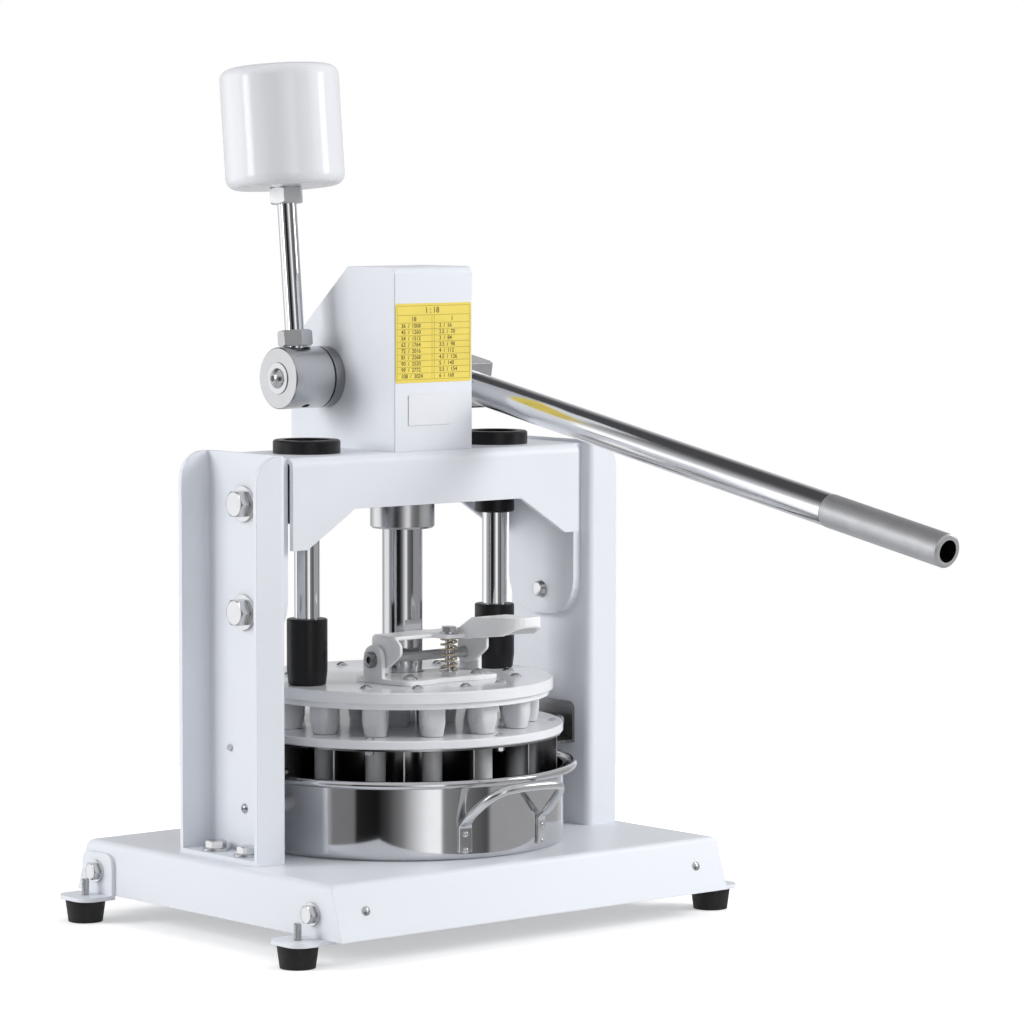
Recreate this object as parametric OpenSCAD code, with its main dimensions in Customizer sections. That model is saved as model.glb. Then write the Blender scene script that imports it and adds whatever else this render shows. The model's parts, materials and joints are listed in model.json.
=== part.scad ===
// Hand-lever dough divider for bench use, drawn at the bottom of its stroke.
// Millimetres. The bench is z = 0, the ram axis is x = 0, y = 0, and the front faces -Y.

/* [Base] */
// Width of the base along X
base_w = 490; // [460:1:540]
// Depth of the base's top face along Y
base_d = 390; // [370:1:450]
// How far the front and back faces lean out at the bottom
base_flare = 17; // [6:1:30]
// Height of the base
base_h = 52; // [46:1:70]
// Sheet thickness of the base
base_sheet = 4; // [2:0.5:6]
// Outer bend radius of the base's top edges
base_edge_r = 7; // [6.5:0.5:12]
// Distance of the front rivets from the middle
plug_x = 210; // [120:1:225]
// Diameter of the front rivets' heads
plug_d = 9; // [6:0.5:14]

/* [Feet] */
// Height of a rubber foot
foot_h = 22; // [15:1:40]
// Diameter of a rubber foot at its top
foot_top_d = 40; // [30:1:46]
// Diameter of a rubber foot at its sole
foot_sole_d = 34; // [24:1:44]
// Distance of a foot's axis from the side of the base
foot_out = 18; // [14:1:24]
// Distance of the front feet's axes behind the front edge of the base's top
foot_front_in = 27; // [22:1:50]
// Distance of the rear feet's axes before the rear edge of the base's top
foot_rear_in = 21; // [16:1:50]
// Sheet thickness of the foot brackets
bracket_t = 4; // [3:0.5:6]
// Width of the foot brackets
bracket_w = 50; // [44:1:64]
// Height of the foot brackets' upright leg
bracket_leg_h = 45; // [36:1:46]
// Height of the bracket bolts above the base's lower edge
bracket_bolt_z = 22.5; // [18:0.5:26]
// Thread of the foot studs
stud_d = 8; // [6:1:10]
// How far a foot stud stands above its bracket
stud_over = 16; // [8:1:24]

/* [Columns] */
// Height of the columns above the base
column_h = 392; // [388:1:440]
// Inside width between the two columns
column_gap = 384; // [380:1:414]
// Depth of a column's channel along Y
column_d = 124; // [120:1:150]
// How far the flanges stand out from the web's inner face
column_flange = 37; // [32:1:46]
// Sheet thickness of the columns
column_sheet = 5; // [3:0.5:6]
// Outer bend radius of the columns' channel
column_bend_r = 8; // [7:0.5:14]
// Radius of the flanges' top corners
column_corner_r = 28; // [10:1:30]
// Thickness of the columns' foot plates
column_foot_t = 5; // [4:0.5:10]
// Distance of each base bolt from the middle of its column, along Y
base_bolt_y = 25; // [18:1:36]

/* [Head] */
// How far the head's top lies below the columns' tops
head_drop = 3; // [0:1:6]
// Depth of the head along Y
head_d = 116; // [112:1:120]
// Sheet thickness of the head
head_sheet = 5; // [3:0.5:8]
// Outer bend radius of the head's front and rear edges
head_bend_r = 9; // [8.5:0.5:14]
// Height of the aprons at their ends
apron_end_h = 89; // [75:1:110]
// Height of the aprons in the middle
apron_mid_h = 52; // [40:1:70]
// Half width of the aprons' opening at its top
apron_top_x = 106; // [95:1:115]
// Half width of the aprons' opening at its bottom
apron_low_x = 164; // [140:1:172]
// Thickness of the side ears
ear_t = 10; // [6:0.5:14]
// Height of the side ears
ear_h = 176; // [172:1:200]
// Depth of the side ears along Y
ear_d = 100; // [90:1:104]
// Radius of the ears' bottom corners
ear_corner_r = 38; // [10:1:42]
// Depth of the upper head bolts below the columns' tops
head_bolt_upper = 49; // [40:1:70]
// Depth of the lower head bolts below the columns' tops
head_bolt_lower = 154; // [130:1:160]

/* [Gear housing] */
// Width of the housing along X
housing_w = 98; // [86:1:110]
// Height of the housing above the head
housing_h = 180; // [178:1:220]
// Distance of the housing's front face from the ram axis
housing_front = 48.5; // [40:0.5:54]
// Distance of the housing's rear face behind the lever shaft
housing_rear = 56.5; // [50:0.5:70]
// Where the sloping roof starts, behind the ram axis
roof_break_y = 24; // [0:1:30]
// Height of the housing's rear face
housing_rear_h = 102; // [98:0.5:135]
// Sheet thickness of the housing
housing_sheet = 3; // [2:0.5:4]
// Bend radius of the housing's top front edge
housing_bend_r = 6; // [4.5:0.5:12]

/* [Lever] */
// Height of the lever shaft above the head
shaft_rise = 70; // [58:1:76]
// Diameter of the lever shaft
shaft_d = 25; // [20:1:28]
// Diameter of the bearings' flanges
bearing_flange_d = 61; // [52:1:64]
// Thickness of the bearings' flanges
bearing_flange_t = 11; // [5:0.5:14]
// Diameter of the bearings' spigots
bearing_spigot_d = 36; // [34:1:44]
// Length of a bearing spigot inside the housing wall
bearing_spigot_in = 8; // [4:1:14]
// Diameter of the counterweight hub
hub_d = 61; // [52:1:66]
// Length of the counterweight hub
hub_len = 48.5; // [36:0.5:56]
// Diameter of the end washer on the hub
end_washer_d = 31; // [28:1:40]
// Backward lean of the counterweight rod, in degrees
weight_lean = 5.5; // [0:0.5:15]
// Diameter of the counterweight rod
rod_d = 19; // [16:0.5:22]
// Width across flats of the lock nuts
rod_nut_af = 30; // [27:0.5:34]
// Height of the lock nuts
rod_nut_h = 16; // [10:0.5:18]
// Gap between the hub and the lower lock nut
rod_nut_gap = 0.5; // [0.25:0.25:6]
// Distance of the counterweight's underside from the shaft axis
weight_from = 188; // [120:1:220]
// Diameter of the counterweight
weight_d = 118; // [90:1:140]
// Length of the counterweight
weight_len = 119; // [90:1:140]
// Edge radius of the counterweight
weight_edge_r = 11; // [4:1:20]
// Slope of the handle below the horizontal, in degrees
handle_drop = 10.5; // [0:0.5:14]
// Width of the handle block along X
block_w = 54; // [44:1:66]
// Height of the handle block
block_h = 48; // [40:1:52]
// How far the handle block reaches ahead of the shaft axis
block_front = 59; // [52:1:62]
// How far the handle block reaches behind the shaft axis
block_rear = 24; // [22:1:34]
// Edge chamfer of the handle block
block_chamfer = 2; // [0.5:0.5:4]
// Outer diameter of the handle tube
handle_d = 31; // [26:0.5:33]
// Wall of the handle tube
handle_wall = 5; // [3:0.25:6]
// Length of the handle from the shaft axis to its end
handle_len = 735; // [500:1:800]
// Length of the grip at the handle's end
grip_len = 152; // [100:1:220]
// Outer diameter of the grip
grip_d = 31.5; // [29:0.5:35]
// Wall of the grip sleeve
grip_wall = 2; // [1:0.1:3]

/* [Gear and ram] */
// Module of the rack and pinion
gear_module = 3; // [2.5:0.25:3.25]
// Teeth of the pinion
gear_teeth = 28; // [26:1:30]
// Face width of the pinion
gear_face = 28; // [20:1:36]
// Pressure angle of the teeth, in degrees
gear_angle = 20; // [18:1:22]
// Play between tooth flanks
gear_play = 0.64; // [0.4:0.02:0.9]
// Diameter of the ram
ram_d = 40; // [36:1:44]
// Length of the ram above the head's top
ram_over = 92; // [84:1:94]
// Travel of the ram
ram_travel = 80; // [60:1:80]
// Outer diameter of the ram's guide bush
ram_bush_d = 64; // [54:1:68]
// How far the ram's guide bush hangs below the head's top
ram_bush_drop = 79; // [50:1:90]

/* [Guides] */
// Distance of the guide rods from the ram axis
guide_x = 120; // [112:1:124]
// Diameter of the guide rods
guide_d = 25; // [20:1:28]
// Diameter of the guide bushes' top rings
bush_ring_d = 66; // [56:1:72]
// Height of the guide bushes' top rings
bush_ring_h = 13; // [8:1:18]
// Diameter of the recess in the guide bushes' top rings
bush_recess_d = 45; // [40:1:48]
// Depth of the recess in the guide bushes' top rings
bush_recess_h = 4; // [2:0.5:6]
// Body diameter of the guide bushes
bush_d = 40; // [36:1:46]
// How far the guide bushes hang below the head's top
bush_drop = 69; // [50:1:70]
// Diameter of the sleeves on the guide rods
sleeve_d = 40; // [36:1:46]
// Height of the sleeves on the guide rods
sleeve_h = 65; // [50:1:66]
// Height of the sleeves' tapered foot
sleeve_taper_h = 14; // [6:1:24]
// How much narrower the sleeves' foot is at the disc
sleeve_taper = 3; // [1:0.5:6]

/* [Press and knives] */
// Height of the knives
knife_h = 104; // [95:1:108]
// Thickness of the knives
knife_t = 1.5; // [1:0.25:2]
// Height of the knives' ground edge
knife_bevel = 4; // [2:0.5:8]
// Width of the knives' edge
knife_edge = 0.4; // [0.2:0.1:0.8]
// Gap between the knives' edges and the pan's floor
knife_gap = 1; // [0.5:0.25:3]
// Outer divisions of the dough
outer_cells = 14; // [10:1:16]
// Inner divisions of the dough
inner_cells = 4; // [2:2:4]
// Radius of the ring knife's middle
ring_r = 75; // [66:1:82]
// Radius that the radial knives reach
knife_reach = 156; // [150:1:157]
// Thickness of the knife plate
knife_plate_t = 2; // [1:0.5:4]
// Radius of the knife plate
knife_plate_r = 158; // [152:1:160]
// Thickness of the knife carrier disc
carrier_t = 8.5; // [6:0.5:12]
// Radius of the knife carrier disc
carrier_r = 160; // [155:1:162]
// Pitch radius of the knife plate bolts
plate_bolt_r = 150; // [146:1:152]
// Clear height between the knife carrier and the press disc's backing
press_gap = 28.5; // [24:0.5:32]
// Thickness of the press disc's backing
backing_t = 6; // [4:0.5:10]
// Radius of the press disc's backing
backing_r = 146; // [141:1:150]
// Thickness of the press disc
disc_t = 11; // [8:0.5:14]
// Radius of the press disc
disc_r = 150; // [146:1:156]
// Travel of the press against the ram
press_travel = 8; // [4:1:8]
// Radius of the outer posts' circle
post_r = 123; // [118:1:124]
// Radius of the inner posts' circle
inner_post_r = 42; // [38:1:46]
// Size of a post's head along the radius
post_head_r = 30; // [24:1:34]
// Size of a post's head across the radius
post_head_w = 25; // [22:1:30]
// Corner radius of a post's head
post_corner_r = 6; // [2:0.5:8]
// Height of a post's straight head
post_head_h = 14; // [8:1:18]
// Diameter of a post's stem
post_d = 20; // [16:0.5:22]
// Height of the press pads' underside above the knives' edges
pad_lift = 20; // [12:1:40]
// Thickness of the press pads
pad_t = 8; // [6:0.5:14]
// Gap between a press pad and the knives round it
pad_gap = 1.5; // [0.8:0.1:3]
// Radius that the press pads reach
pad_reach = 155; // [148:1:156]
// Diameter of a post's spigot in the backing
post_spigot_d = 12; // [8:0.5:16]
// Pitch radius of the disc screws
disc_screw_r = 113; // [106:1:116]
// Turn of the disc screws off the posts' middle, in degrees
disc_screw_turn = 6; // [5:0.5:8]

/* [Pan] */
// Outer radius of the pan's wall
pan_r = 161; // [159:0.5:164]
// Sheet thickness of the pan
pan_sheet = 1; // [0.8:0.1:1.5]
// Height of the pan
pan_h = 79; // [60:1:79]
// Corner radius of the pan's floor
pan_corner_r = 5; // [2:0.5:6]
// Outer radius of the pan's rim
rim_r = 174; // [170:0.5:178]
// Diameter of the pan's rim bead
rim_bead = 8; // [5:0.5:10]
// Half span of the pan handle's fixings
handle_span = 48; // [36:1:60]
// Half length of the pan handle's bar
handle_bar_x = 38; // [26:1:44]
// Diameter of the pan handle's rod
handle_rod_d = 9; // [6:0.5:11]
// How far the pan handle's bar stands out from the pan's wall
handle_stand = 38; // [28:1:50]
// Height of the pan handle's bar above the base
handle_bar_z = 71; // [50:1:78]
// Height of the pan handle's fixings above the base
handle_tab_z = 24; // [16:1:30]
// Width of the pan handle's flattened fixings
handle_tab_w = 14; // [10:0.5:18]
// Height of the pan handle's flattened fixings
handle_tab_h = 32; // [24:1:36]
// Thickness of the pan handle's flattened fixings
handle_tab_t = 2.5; // [1.5:0.25:4]

/* [Pan hold-down] */
// Sheet thickness of the hold-down brackets
clamp_t = 3; // [2:0.5:4]
// Height of the hold-down brackets
clamp_h = 41.5; // [34:0.5:50]
// Width of the hold-down brackets along Y
clamp_w = 82; // [60:1:84]
// How far the hold-down brackets' lip reaches over the rim
clamp_lip = 24; // [22:1:28]
// Gap between the pan's rim and the hold-down lip
clamp_gap = 4.5; // [2:0.5:8]
// Distance between the two screws of a hold-down bracket
clamp_screw_gap = 45; // [40:1:56]
// Diameter of the pan's side guides
side_guide_d = 18; // [12:1:24]
// Height of the pan's side guides above the base
side_guide_z = 47; // [30:1:52]
// Gap between the pan's wall and its side guides
side_guide_gap = 1.5; // [0.5:0.25:4]

/* [Latch] */
// Distance of the latch pin in front of the ram axis
latch_y = 32; // [32:1:38]
// Height of the latch pin above the press disc
latch_z = 23; // [20:1:28]
// Diameter of the latch pin
latch_pin_d = 10; // [8:0.5:12]
// Half distance between the bracket ears' outer faces
latch_ear_x = 64; // [62:1:76]
// Sheet thickness of the latch bracket
latch_sheet = 5; // [4:0.5:6]
// Radius of the bracket ears round the pin
latch_ear_r = 14.5; // [12:0.5:16]
// Sheet thickness of the latch lever
latch_lever_t = 4; // [3:0.5:5]
// Height of the latch lever's top above the press disc
latch_top = 47; // [45:1:50]
// Distance of the lever plate's front edge in front of the ram axis
latch_plate_front = 58; // [54:1:60]
// Half width of the pawl
pawl_x = 14; // [10:1:20]
// How deep the pawl reaches into the ram's notch
pawl_depth = 2; // [1:0.25:2]
// Play under the pawl in the ram's notch
pawl_play = 0.5; // [0.4:0.1:2]
// Play over the pawl in the ram's notch
pawl_rise = 2.5; // [1:0.5:4]
// Middle of the latch tongue along X
tongue_x = 38.5; // [38:0.5:40]
// Width of the latch tongue
tongue_w = 45; // [38:1:46]
// Distance of the tongue's tip in front of the ram axis
tongue_tip = 152; // [140:1:170]
// Rise of the tongue above the lever plate
tongue_rise = 17; // [10:1:24]
// Length of the tongue's rising part along Y
tongue_ramp = 29; // [20:1:36]
// Height of the skirt round the tongue
tongue_skirt = 19; // [12:1:20]
// Distance of the spring bolt in front of the ram axis
spring_y = 65; // [62:1:66]
// Distance of the spring bolt from the middle along X
spring_x = 6; // [0:1:7]
// Mean diameter of the latch spring
spring_d = 15; // [13:0.5:18]
// Wire of the latch spring
spring_wire = 1.8; // [1.2:0.1:2]
// Turns of the latch spring
spring_turns = 6; // [4:1:7]
// Thread of the spring bolt
spring_bolt_d = 8; // [6:0.5:8]

/* [Fits] */
// Radial clearance of sliding and turning fits
run_gap = 0.05; // [0.02:0.01:0.1]
// Radial clearance of bolts and seats in their holes
seat_gap = 0.15; // [0.1:0.05:0.4]
// Clearance between moving pieces that don't touch
free_gap = 1; // [0.5:0.1:1.5]
// Gap between a soft or sprung piece and its seat
soft_gap = 0.3; // [0.2:0.05:0.5]

/* [Hidden] */
$fn = 64;

// Small overshoot of cuts
cut = 1;
// Steps in a rounded corner
arc_steps = 6;

// Standard fastener sizes: thread, width across flats, head height
m5 = [5, 8, 3.5];
m6 = [6, 10, 4];
m8 = [8, 13, 5.3];
m10 = [10, 16, 6.4];
m12 = [12, 18, 7.5];
m16 = [16, 24, 10];
// Washer thickness, and washer diameter over thread
washer_t = 2.5;
washer_ratio = 2.2;

// Levels above the bench
base_low_z = foot_h + bracket_t;
base_top_z = base_low_z + base_h;
column_top_z = base_top_z + column_h;
head_top_z = column_top_z - head_drop;
head_low_z = head_top_z - head_sheet;
shaft_z = head_top_z + shaft_rise;
housing_top_z = head_top_z + housing_h;
pan_floor_z = base_top_z + pan_sheet;
rim_top_z = base_top_z + pan_h;
knife_low_z = pan_floor_z + knife_gap;
knife_top_z = knife_low_z + knife_h;
carrier_low_z = knife_top_z + knife_plate_t;
carrier_top_z = carrier_low_z + carrier_t;
backing_low_z = carrier_top_z + press_gap;
disc_low_z = backing_low_z + backing_t;
disc_top_z = disc_low_z + disc_t;
pad_low_z = knife_low_z + pad_lift;
pad_top_z = pad_low_z + pad_t;
sleeve_top_z = disc_top_z + sleeve_h;
ram_top_z = head_top_z + ram_over;
clamp_low_z = rim_top_z + clamp_gap;

// Places across the machine
base_wall_y = base_sheet * norm([base_flare, base_h]) / base_h;
base_side_x = base_w / 2;
foot_front_y = base_d / 2 - foot_front_in;
foot_rear_y = base_d / 2 - foot_rear_in;
base_inner_x = base_side_x - base_sheet;
foot_x = base_side_x + foot_out;
bracket_bolt_level = base_low_z + bracket_bolt_z;
web_x = column_gap / 2;
web_out_x = web_x + column_sheet;
flange_x = web_x + column_flange;
base_bolt_x = (web_out_x + flange_x) / 2;
head_x = web_x - ear_t;
pitch_r = gear_module * gear_teeth / 2;
rack_pitch_y = ram_d / 2 - gear_module;
shaft_y = rack_pitch_y + pitch_r;
housing_rear_y = shaft_y + housing_rear;
housing_x = housing_w / 2;
bearing_out_x = housing_x + bearing_flange_t;
hub_in_x = bearing_out_x + free_gap;
hub_out_x = hub_in_x + hub_len;
hub_mid_x = (hub_in_x + hub_out_x) / 2;
block_in_x = bearing_out_x + free_gap;
block_out_x = block_in_x + block_w;
handle_x = (block_in_x + block_out_x) / 2;
block_wall = 4;
handle_seat = shaft_d / 2 + block_wall;
pan_in_r = pan_r - pan_sheet;
stem_hole_d = post_d + 2 * free_gap;
cell_turn = 360 / outer_cells;
front_turn = -90;
latch_pin_z = disc_top_z + latch_z;
latch_top_z = disc_top_z + latch_top;
latch_low_z = latch_top_z - latch_lever_t;
bracket_top_z = disc_top_z + latch_sheet;
cheek_out_x = latch_ear_x - latch_sheet - 2 * free_gap;
notch_y = ram_d / 2 - pawl_depth - free_gap;

// Points of one corner, rounded by radius r
function unit(v) = v / norm(v);
function turn_of(a) = a > 180 ? a - 360 : a < -180 ? a + 360 : a;
function corner(before, at, after, r) =
  r <= 0 ? [at] :
  let (u = unit(before - at), v = unit(after - at), half = acos(u * v) / 2)
  let (middle = at + unit(u + v) * r / sin(half), s = at + u * r / tan(half), e = at + v * r / tan(half))
  let (a0 = atan2(s.y - middle.y, s.x - middle.x), a1 = atan2(e.y - middle.y, e.x - middle.x))
  let (sweep = turn_of(a1 - a0))
  [for (i = [0:arc_steps]) middle + r * [cos(a0 + sweep * i / arc_steps), sin(a0 + sweep * i / arc_steps)]];

// Outline with each corner rounded by its own radius
function rounded(points, radii) =
  let (n = len(points))
  [for (i = [0:n - 1]) each corner(points[(i + n - 1) % n], points[i], points[(i + 1) % n], radii[i])];

// Extrusions of an outline drawn in (y, z) along X, and of one drawn in (x, z) along Y
module along_x(w) { rotate([90, 0, 90]) linear_extrude(w, center = true) children(); }
module along_y(d) { rotate([90, 0, 0]) linear_extrude(d, center = true) children(); }

// A child and its mirror image across the machine
module both_sides() {
  children();
  mirror([1, 0, 0]) children();
}

// Outer cells of the knives, and inner cells, each counted from the front
module outer_places(r, turn = 0) {
  for (i = [0:outer_cells - 1]) rotate(front_turn + i * cell_turn + turn) translate([r, 0, 0]) children();
}
module inner_places(r) {
  for (i = [0:inner_cells - 1]) rotate(front_turn + (i + 0.5) * 360 / inner_cells)
    translate([r, 0, 0]) children();
}

// Bolt along -Z with its hexagon head and washer above z = 0
module hex_bolt(size, length) {
  cylinder(h = washer_t, d = size[0] * washer_ratio);
  translate([0, 0, washer_t]) cylinder(h = size[2], d = size[1] / cos(30), $fn = 6);
  translate([0, 0, -length]) cylinder(h = length + washer_t, d = size[0]);
}

// Nut between z = -height and z = 0
module hex_nut(size, height) {
  translate([0, 0, -height]) difference() {
    cylinder(h = height, d = size[1] / cos(30), $fn = 6);
    translate([0, 0, -cut]) cylinder(h = height + 2 * cut, d = size[0] + 2 * run_gap);
  }
}

// Round-head screw along -Z with its head above z = 0 and a cross or hexagon socket
module pan_screw(d, length) {
  head_r = d;
  head_t = d * 0.6;
  difference() {
    union() {
      rotate_extrude() intersection() {
        translate([0, head_t - head_r * 1.2]) circle(r = head_r * 1.2);
        square([head_r, head_t]);
      }
      translate([0, 0, -length]) cylinder(h = length + head_t / 2, d = d);
    }
    translate([0, 0, head_t * 0.45]) cylinder(h = head_t, d = d * 0.7, $fn = 6);
  }
}

// Cut for a round hole from z = 0 up, with the clearance of a seat
module hole(h, d) { translate([0, 0, -cut]) cylinder(h = h + 2 * cut, d = d + 2 * seat_gap); }

// Turns a bolt's axis from +Z to the given side of X
module facing_x(side) { rotate([0, side * 90, 0]) children(); }

// Base: a folded tray open underneath, with leaning front and back
base_half_d = base_d / 2;
module base_profile(inset_y, inset_z, r, low) {
  lean = base_flare / base_h;
  top_y = base_half_d + lean * inset_z - inset_y;
  low_y = base_half_d + base_flare + lean * low - inset_y;
  polygon(rounded([[-low_y, base_low_z - low], [low_y, base_low_z - low],
    [top_y, base_top_z - inset_z], [-top_y, base_top_z - inset_z]], [0, 0, r, r]));
}
module base_blank(inset_x, inset_y, inset_z, r, low) {
  x = base_side_x - inset_x;
  intersection() {
    along_x(2 * x) base_profile(inset_y, inset_z, r, low);
    along_y(2 * (base_d + base_flare)) polygon(rounded(
      [[-x, base_low_z - low], [x, base_low_z - low], [x, base_top_z - inset_z], [-x, base_top_z - inset_z]],
      [0, 0, r, r]));
  }
}
module base_tray() {
  inner_r = base_edge_r - base_sheet;
  color("whitesmoke") difference() {
    base_blank(0, 0, 0, base_edge_r, 0);
    base_blank(base_sheet, base_wall_y, base_sheet, max(inner_r, 0.5), cut);
    base_bolt_places() translate([0, 0, -base_sheet - cut])
      cylinder(h = base_sheet + 2 * cut, d = m12[0] + 2 * seat_gap);
    bracket_bolt_places() translate([0, 0, -bracket_t - 2 * base_sheet])
      cylinder(h = 2 * bracket_t + 3 * base_sheet, d = m10[0] + 2 * seat_gap);
    rivet_places() translate([0, 0, -base_sheet - cut])
      cylinder(h = base_sheet + 2 * cut, d = rivet_shank_d + 2 * seat_gap);
  }
}

// Two rivets in the leaning front face
rivet_shank_d = plug_d * 0.55;
rivet_head_t = 2;
module rivet_places() {
  for (side = [-1, 1])
    translate([side * plug_x, -base_half_d - base_flare / 2, base_low_z + base_h / 2])
      rotate([90 - atan(base_flare / base_h), 0, 0]) children();
}
module front_rivets() {
  color("silver") rivet_places() {
    rotate_extrude() intersection() {
      translate([0, rivet_head_t - plug_d]) circle(r = plug_d);
      square([plug_d / 2, rivet_head_t]);
    }
    translate([0, 0, -base_sheet]) cylinder(h = base_sheet + rivet_head_t / 2, d = rivet_shank_d);
  }
}

// Foot brackets: the front pair's legs stand inside the base, the rear pair's outside
module foot_bracket(leg_x, y) {
  flange_end = foot_x + foot_top_d / 2;
  round_r = bracket_w * 0.3;
  leg_r = bracket_w * 0.2;
  difference() {
    union() {
      translate([0, 0, foot_h]) linear_extrude(bracket_t) polygon(rounded(
        [[leg_x, y - bracket_w / 2], [flange_end, y - bracket_w / 2],
         [flange_end, y + bracket_w / 2], [leg_x, y + bracket_w / 2]], [0, round_r, round_r, 0]));
      translate([leg_x + bracket_t / 2, 0, 0]) along_x(bracket_t) polygon(rounded(
        [[y - bracket_w / 2, foot_h], [y + bracket_w / 2, foot_h],
         [y + bracket_w / 2, foot_h + bracket_leg_h], [y - bracket_w / 2, foot_h + bracket_leg_h]],
        [0, 0, leg_r, leg_r]));
    }
    translate([foot_x, y, foot_h - cut]) cylinder(h = bracket_t + 2 * cut, d = stud_d + 2 * seat_gap);
    translate([leg_x - cut, y, bracket_bolt_level]) rotate([0, 90, 0])
      cylinder(h = bracket_t + 2 * cut, d = m10[0] + 2 * seat_gap);
  }
}
module front_foot_brackets() {
  color("whitesmoke") both_sides() foot_bracket(base_inner_x - bracket_t, -foot_front_y);
}
module rear_foot_brackets() {
  color("whitesmoke") both_sides() foot_bracket(base_side_x, foot_rear_y);
}

// Bracket bolts with nuts inside the base: the frame of each bolt is the base's outer face
module bracket_bolt_places() {
  for (side = [-1, 1], y = [-foot_front_y, foot_rear_y])
    translate([side * base_side_x, y, bracket_bolt_level]) facing_x(side) children();
}
module foot_bracket_bolts() {
  nut_h = 8;
  grip = base_sheet + bracket_t;
  color("silver") for (side = [-1, 1]) {
    translate([side * base_side_x, -foot_front_y, bracket_bolt_level]) facing_x(side) {
      hex_bolt(m10, grip + nut_h + 2);
      translate([0, 0, -grip]) hex_nut(m10, nut_h);
    }
    translate([side * (base_side_x + bracket_t), foot_rear_y, bracket_bolt_level]) facing_x(side) {
      hex_bolt(m10, grip + nut_h + 2);
      translate([0, 0, -grip]) hex_nut(m10, nut_h);
    }
  }
}

// Rubber feet on threaded studs
module foot_places() {
  for (side = [-1, 1], y = [-foot_front_y, foot_rear_y]) translate([side * foot_x, y, 0]) children();
}
stud_low_z = foot_h * 0.4;
module rubber_feet() {
  color("black") foot_places() difference() {
    cylinder(h = foot_h, d1 = foot_sole_d, d2 = foot_top_d);
    translate([0, 0, stud_low_z]) cylinder(h = foot_h, d = stud_d + 2 * seat_gap);
  }
}
module foot_studs() {
  color("silver") foot_places() translate([0, 0, stud_low_z])
    cylinder(h = base_low_z + stud_over - stud_low_z, d = stud_d);
}

// Columns: channels that open outwards, each with a foot plate
module column() {
  inner_r = column_bend_r - column_sheet;
  y = column_d / 2;
  yi = y - column_sheet;
  difference() {
    intersection() {
      translate([0, 0, base_top_z]) union() {
        linear_extrude(column_h) polygon(rounded(
          [[web_x, -y], [flange_x, -y], [flange_x, -yi], [web_out_x, -yi],
           [web_out_x, yi], [flange_x, yi], [flange_x, y], [web_x, y]],
          [column_bend_r, 0, 0, inner_r, inner_r, 0, 0, column_bend_r]));
        translate([web_out_x - cut, -yi - cut, 0])
          cube([flange_x - web_out_x + cut, 2 * (yi + cut), column_foot_t]);
      }
      along_y(column_d) polygon(rounded(
        [[web_x, base_top_z], [flange_x, base_top_z], [flange_x, column_top_z], [web_x, column_top_z]],
        [0, 0, column_corner_r, 0]));
    }
    base_bolt_places() hole(column_foot_t, m12[0]);
    head_bolt_places() translate([0, 0, -column_sheet - cut])
      cylinder(h = column_sheet + 2 * cut, d = m16[0] + 2 * seat_gap);
    clamp_screw_places() translate([0, 0, -cut])
      cylinder(h = column_sheet + clamp_t + 2 * cut, d = m6[0] + 2 * seat_gap);
    side_guide_places() cylinder(h = 3 * column_sheet, d = m5[0] + 2 * seat_gap, center = true);
  }
}
module left_column() { color("whitesmoke") mirror([1, 0, 0]) column(); }
module right_column() { color("whitesmoke") column(); }

// Bolts through the columns' foot plates into nuts under the base's top
module base_bolt_places() {
  for (side = [-1, 1], y = [-1, 1]) translate([side * base_bolt_x, y * base_bolt_y, base_top_z]) children();
}
module column_base_bolts() {
  nut_h = 10;
  color("silver") base_bolt_places() {
    translate([0, 0, column_foot_t]) hex_bolt(m12, column_foot_t + base_sheet + nut_h + 2);
    translate([0, 0, -base_sheet]) hex_nut(m12, nut_h);
  }
}

// Head: a folded bridge with cut-out aprons and two side ears
module head_bridge() {
  y = head_d / 2;
  yi = y - head_sheet;
  inner_r = head_bend_r - head_sheet;
  low_z = head_top_z - apron_end_h;
  mid_z = head_top_z - apron_mid_h;
  ear_low_z = head_top_z - ear_h;
  color("whitesmoke") difference() {
    union() {
      difference() {
        along_x(2 * head_x) polygon(rounded(
          [[-y, low_z], [-yi, low_z], [-yi, head_low_z], [yi, head_low_z],
           [yi, low_z], [y, low_z], [y, head_top_z], [-y, head_top_z]],
          [0, 0, inner_r, inner_r, 0, 0, head_bend_r, head_bend_r]));
        along_y(2 * head_d) polygon([[-apron_low_x, low_z - cut], [apron_low_x, low_z - cut],
          [apron_low_x, low_z], [apron_top_x, mid_z], [-apron_top_x, mid_z], [-apron_low_x, low_z]]);
      }
      translate([-web_x, -ear_d / 2, head_low_z]) cube([2 * web_x, ear_d, head_sheet]);
      for (side = [-1, 1]) translate([side * (web_x - ear_t / 2), 0, 0]) along_x(ear_t) polygon(rounded(
        [[-ear_d / 2, ear_low_z], [ear_d / 2, ear_low_z], [ear_d / 2, head_top_z], [-ear_d / 2, head_top_z]],
        [ear_corner_r, ear_corner_r, 0, 0]));
    }
    head_bolt_places() translate([0, 0, -column_sheet - 2 * ear_t])
      cylinder(h = 2 * ear_t + column_sheet, d = m16[0] + 2 * seat_gap);
    translate([0, 0, head_low_z - cut]) {
      cylinder(h = head_sheet + 2 * cut, d = ram_spigot_d + 2 * seat_gap);
      both_sides() translate([guide_x, 0, 0]) cylinder(h = head_sheet + 2 * cut, d = bush_d + 2 * seat_gap);
    }
  }
}

// Bolts that tie the ears to the columns: the frame of each bolt is the web's outer face
module head_bolt_places() {
  for (side = [-1, 1], drop = [head_bolt_upper, head_bolt_lower])
    translate([side * web_out_x, 0, column_top_z - drop]) facing_x(side) children();
}
module head_bolts() {
  tip = 6;
  color("silver") head_bolt_places() hex_bolt(m16, column_sheet + ear_t + tip);
}

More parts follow.
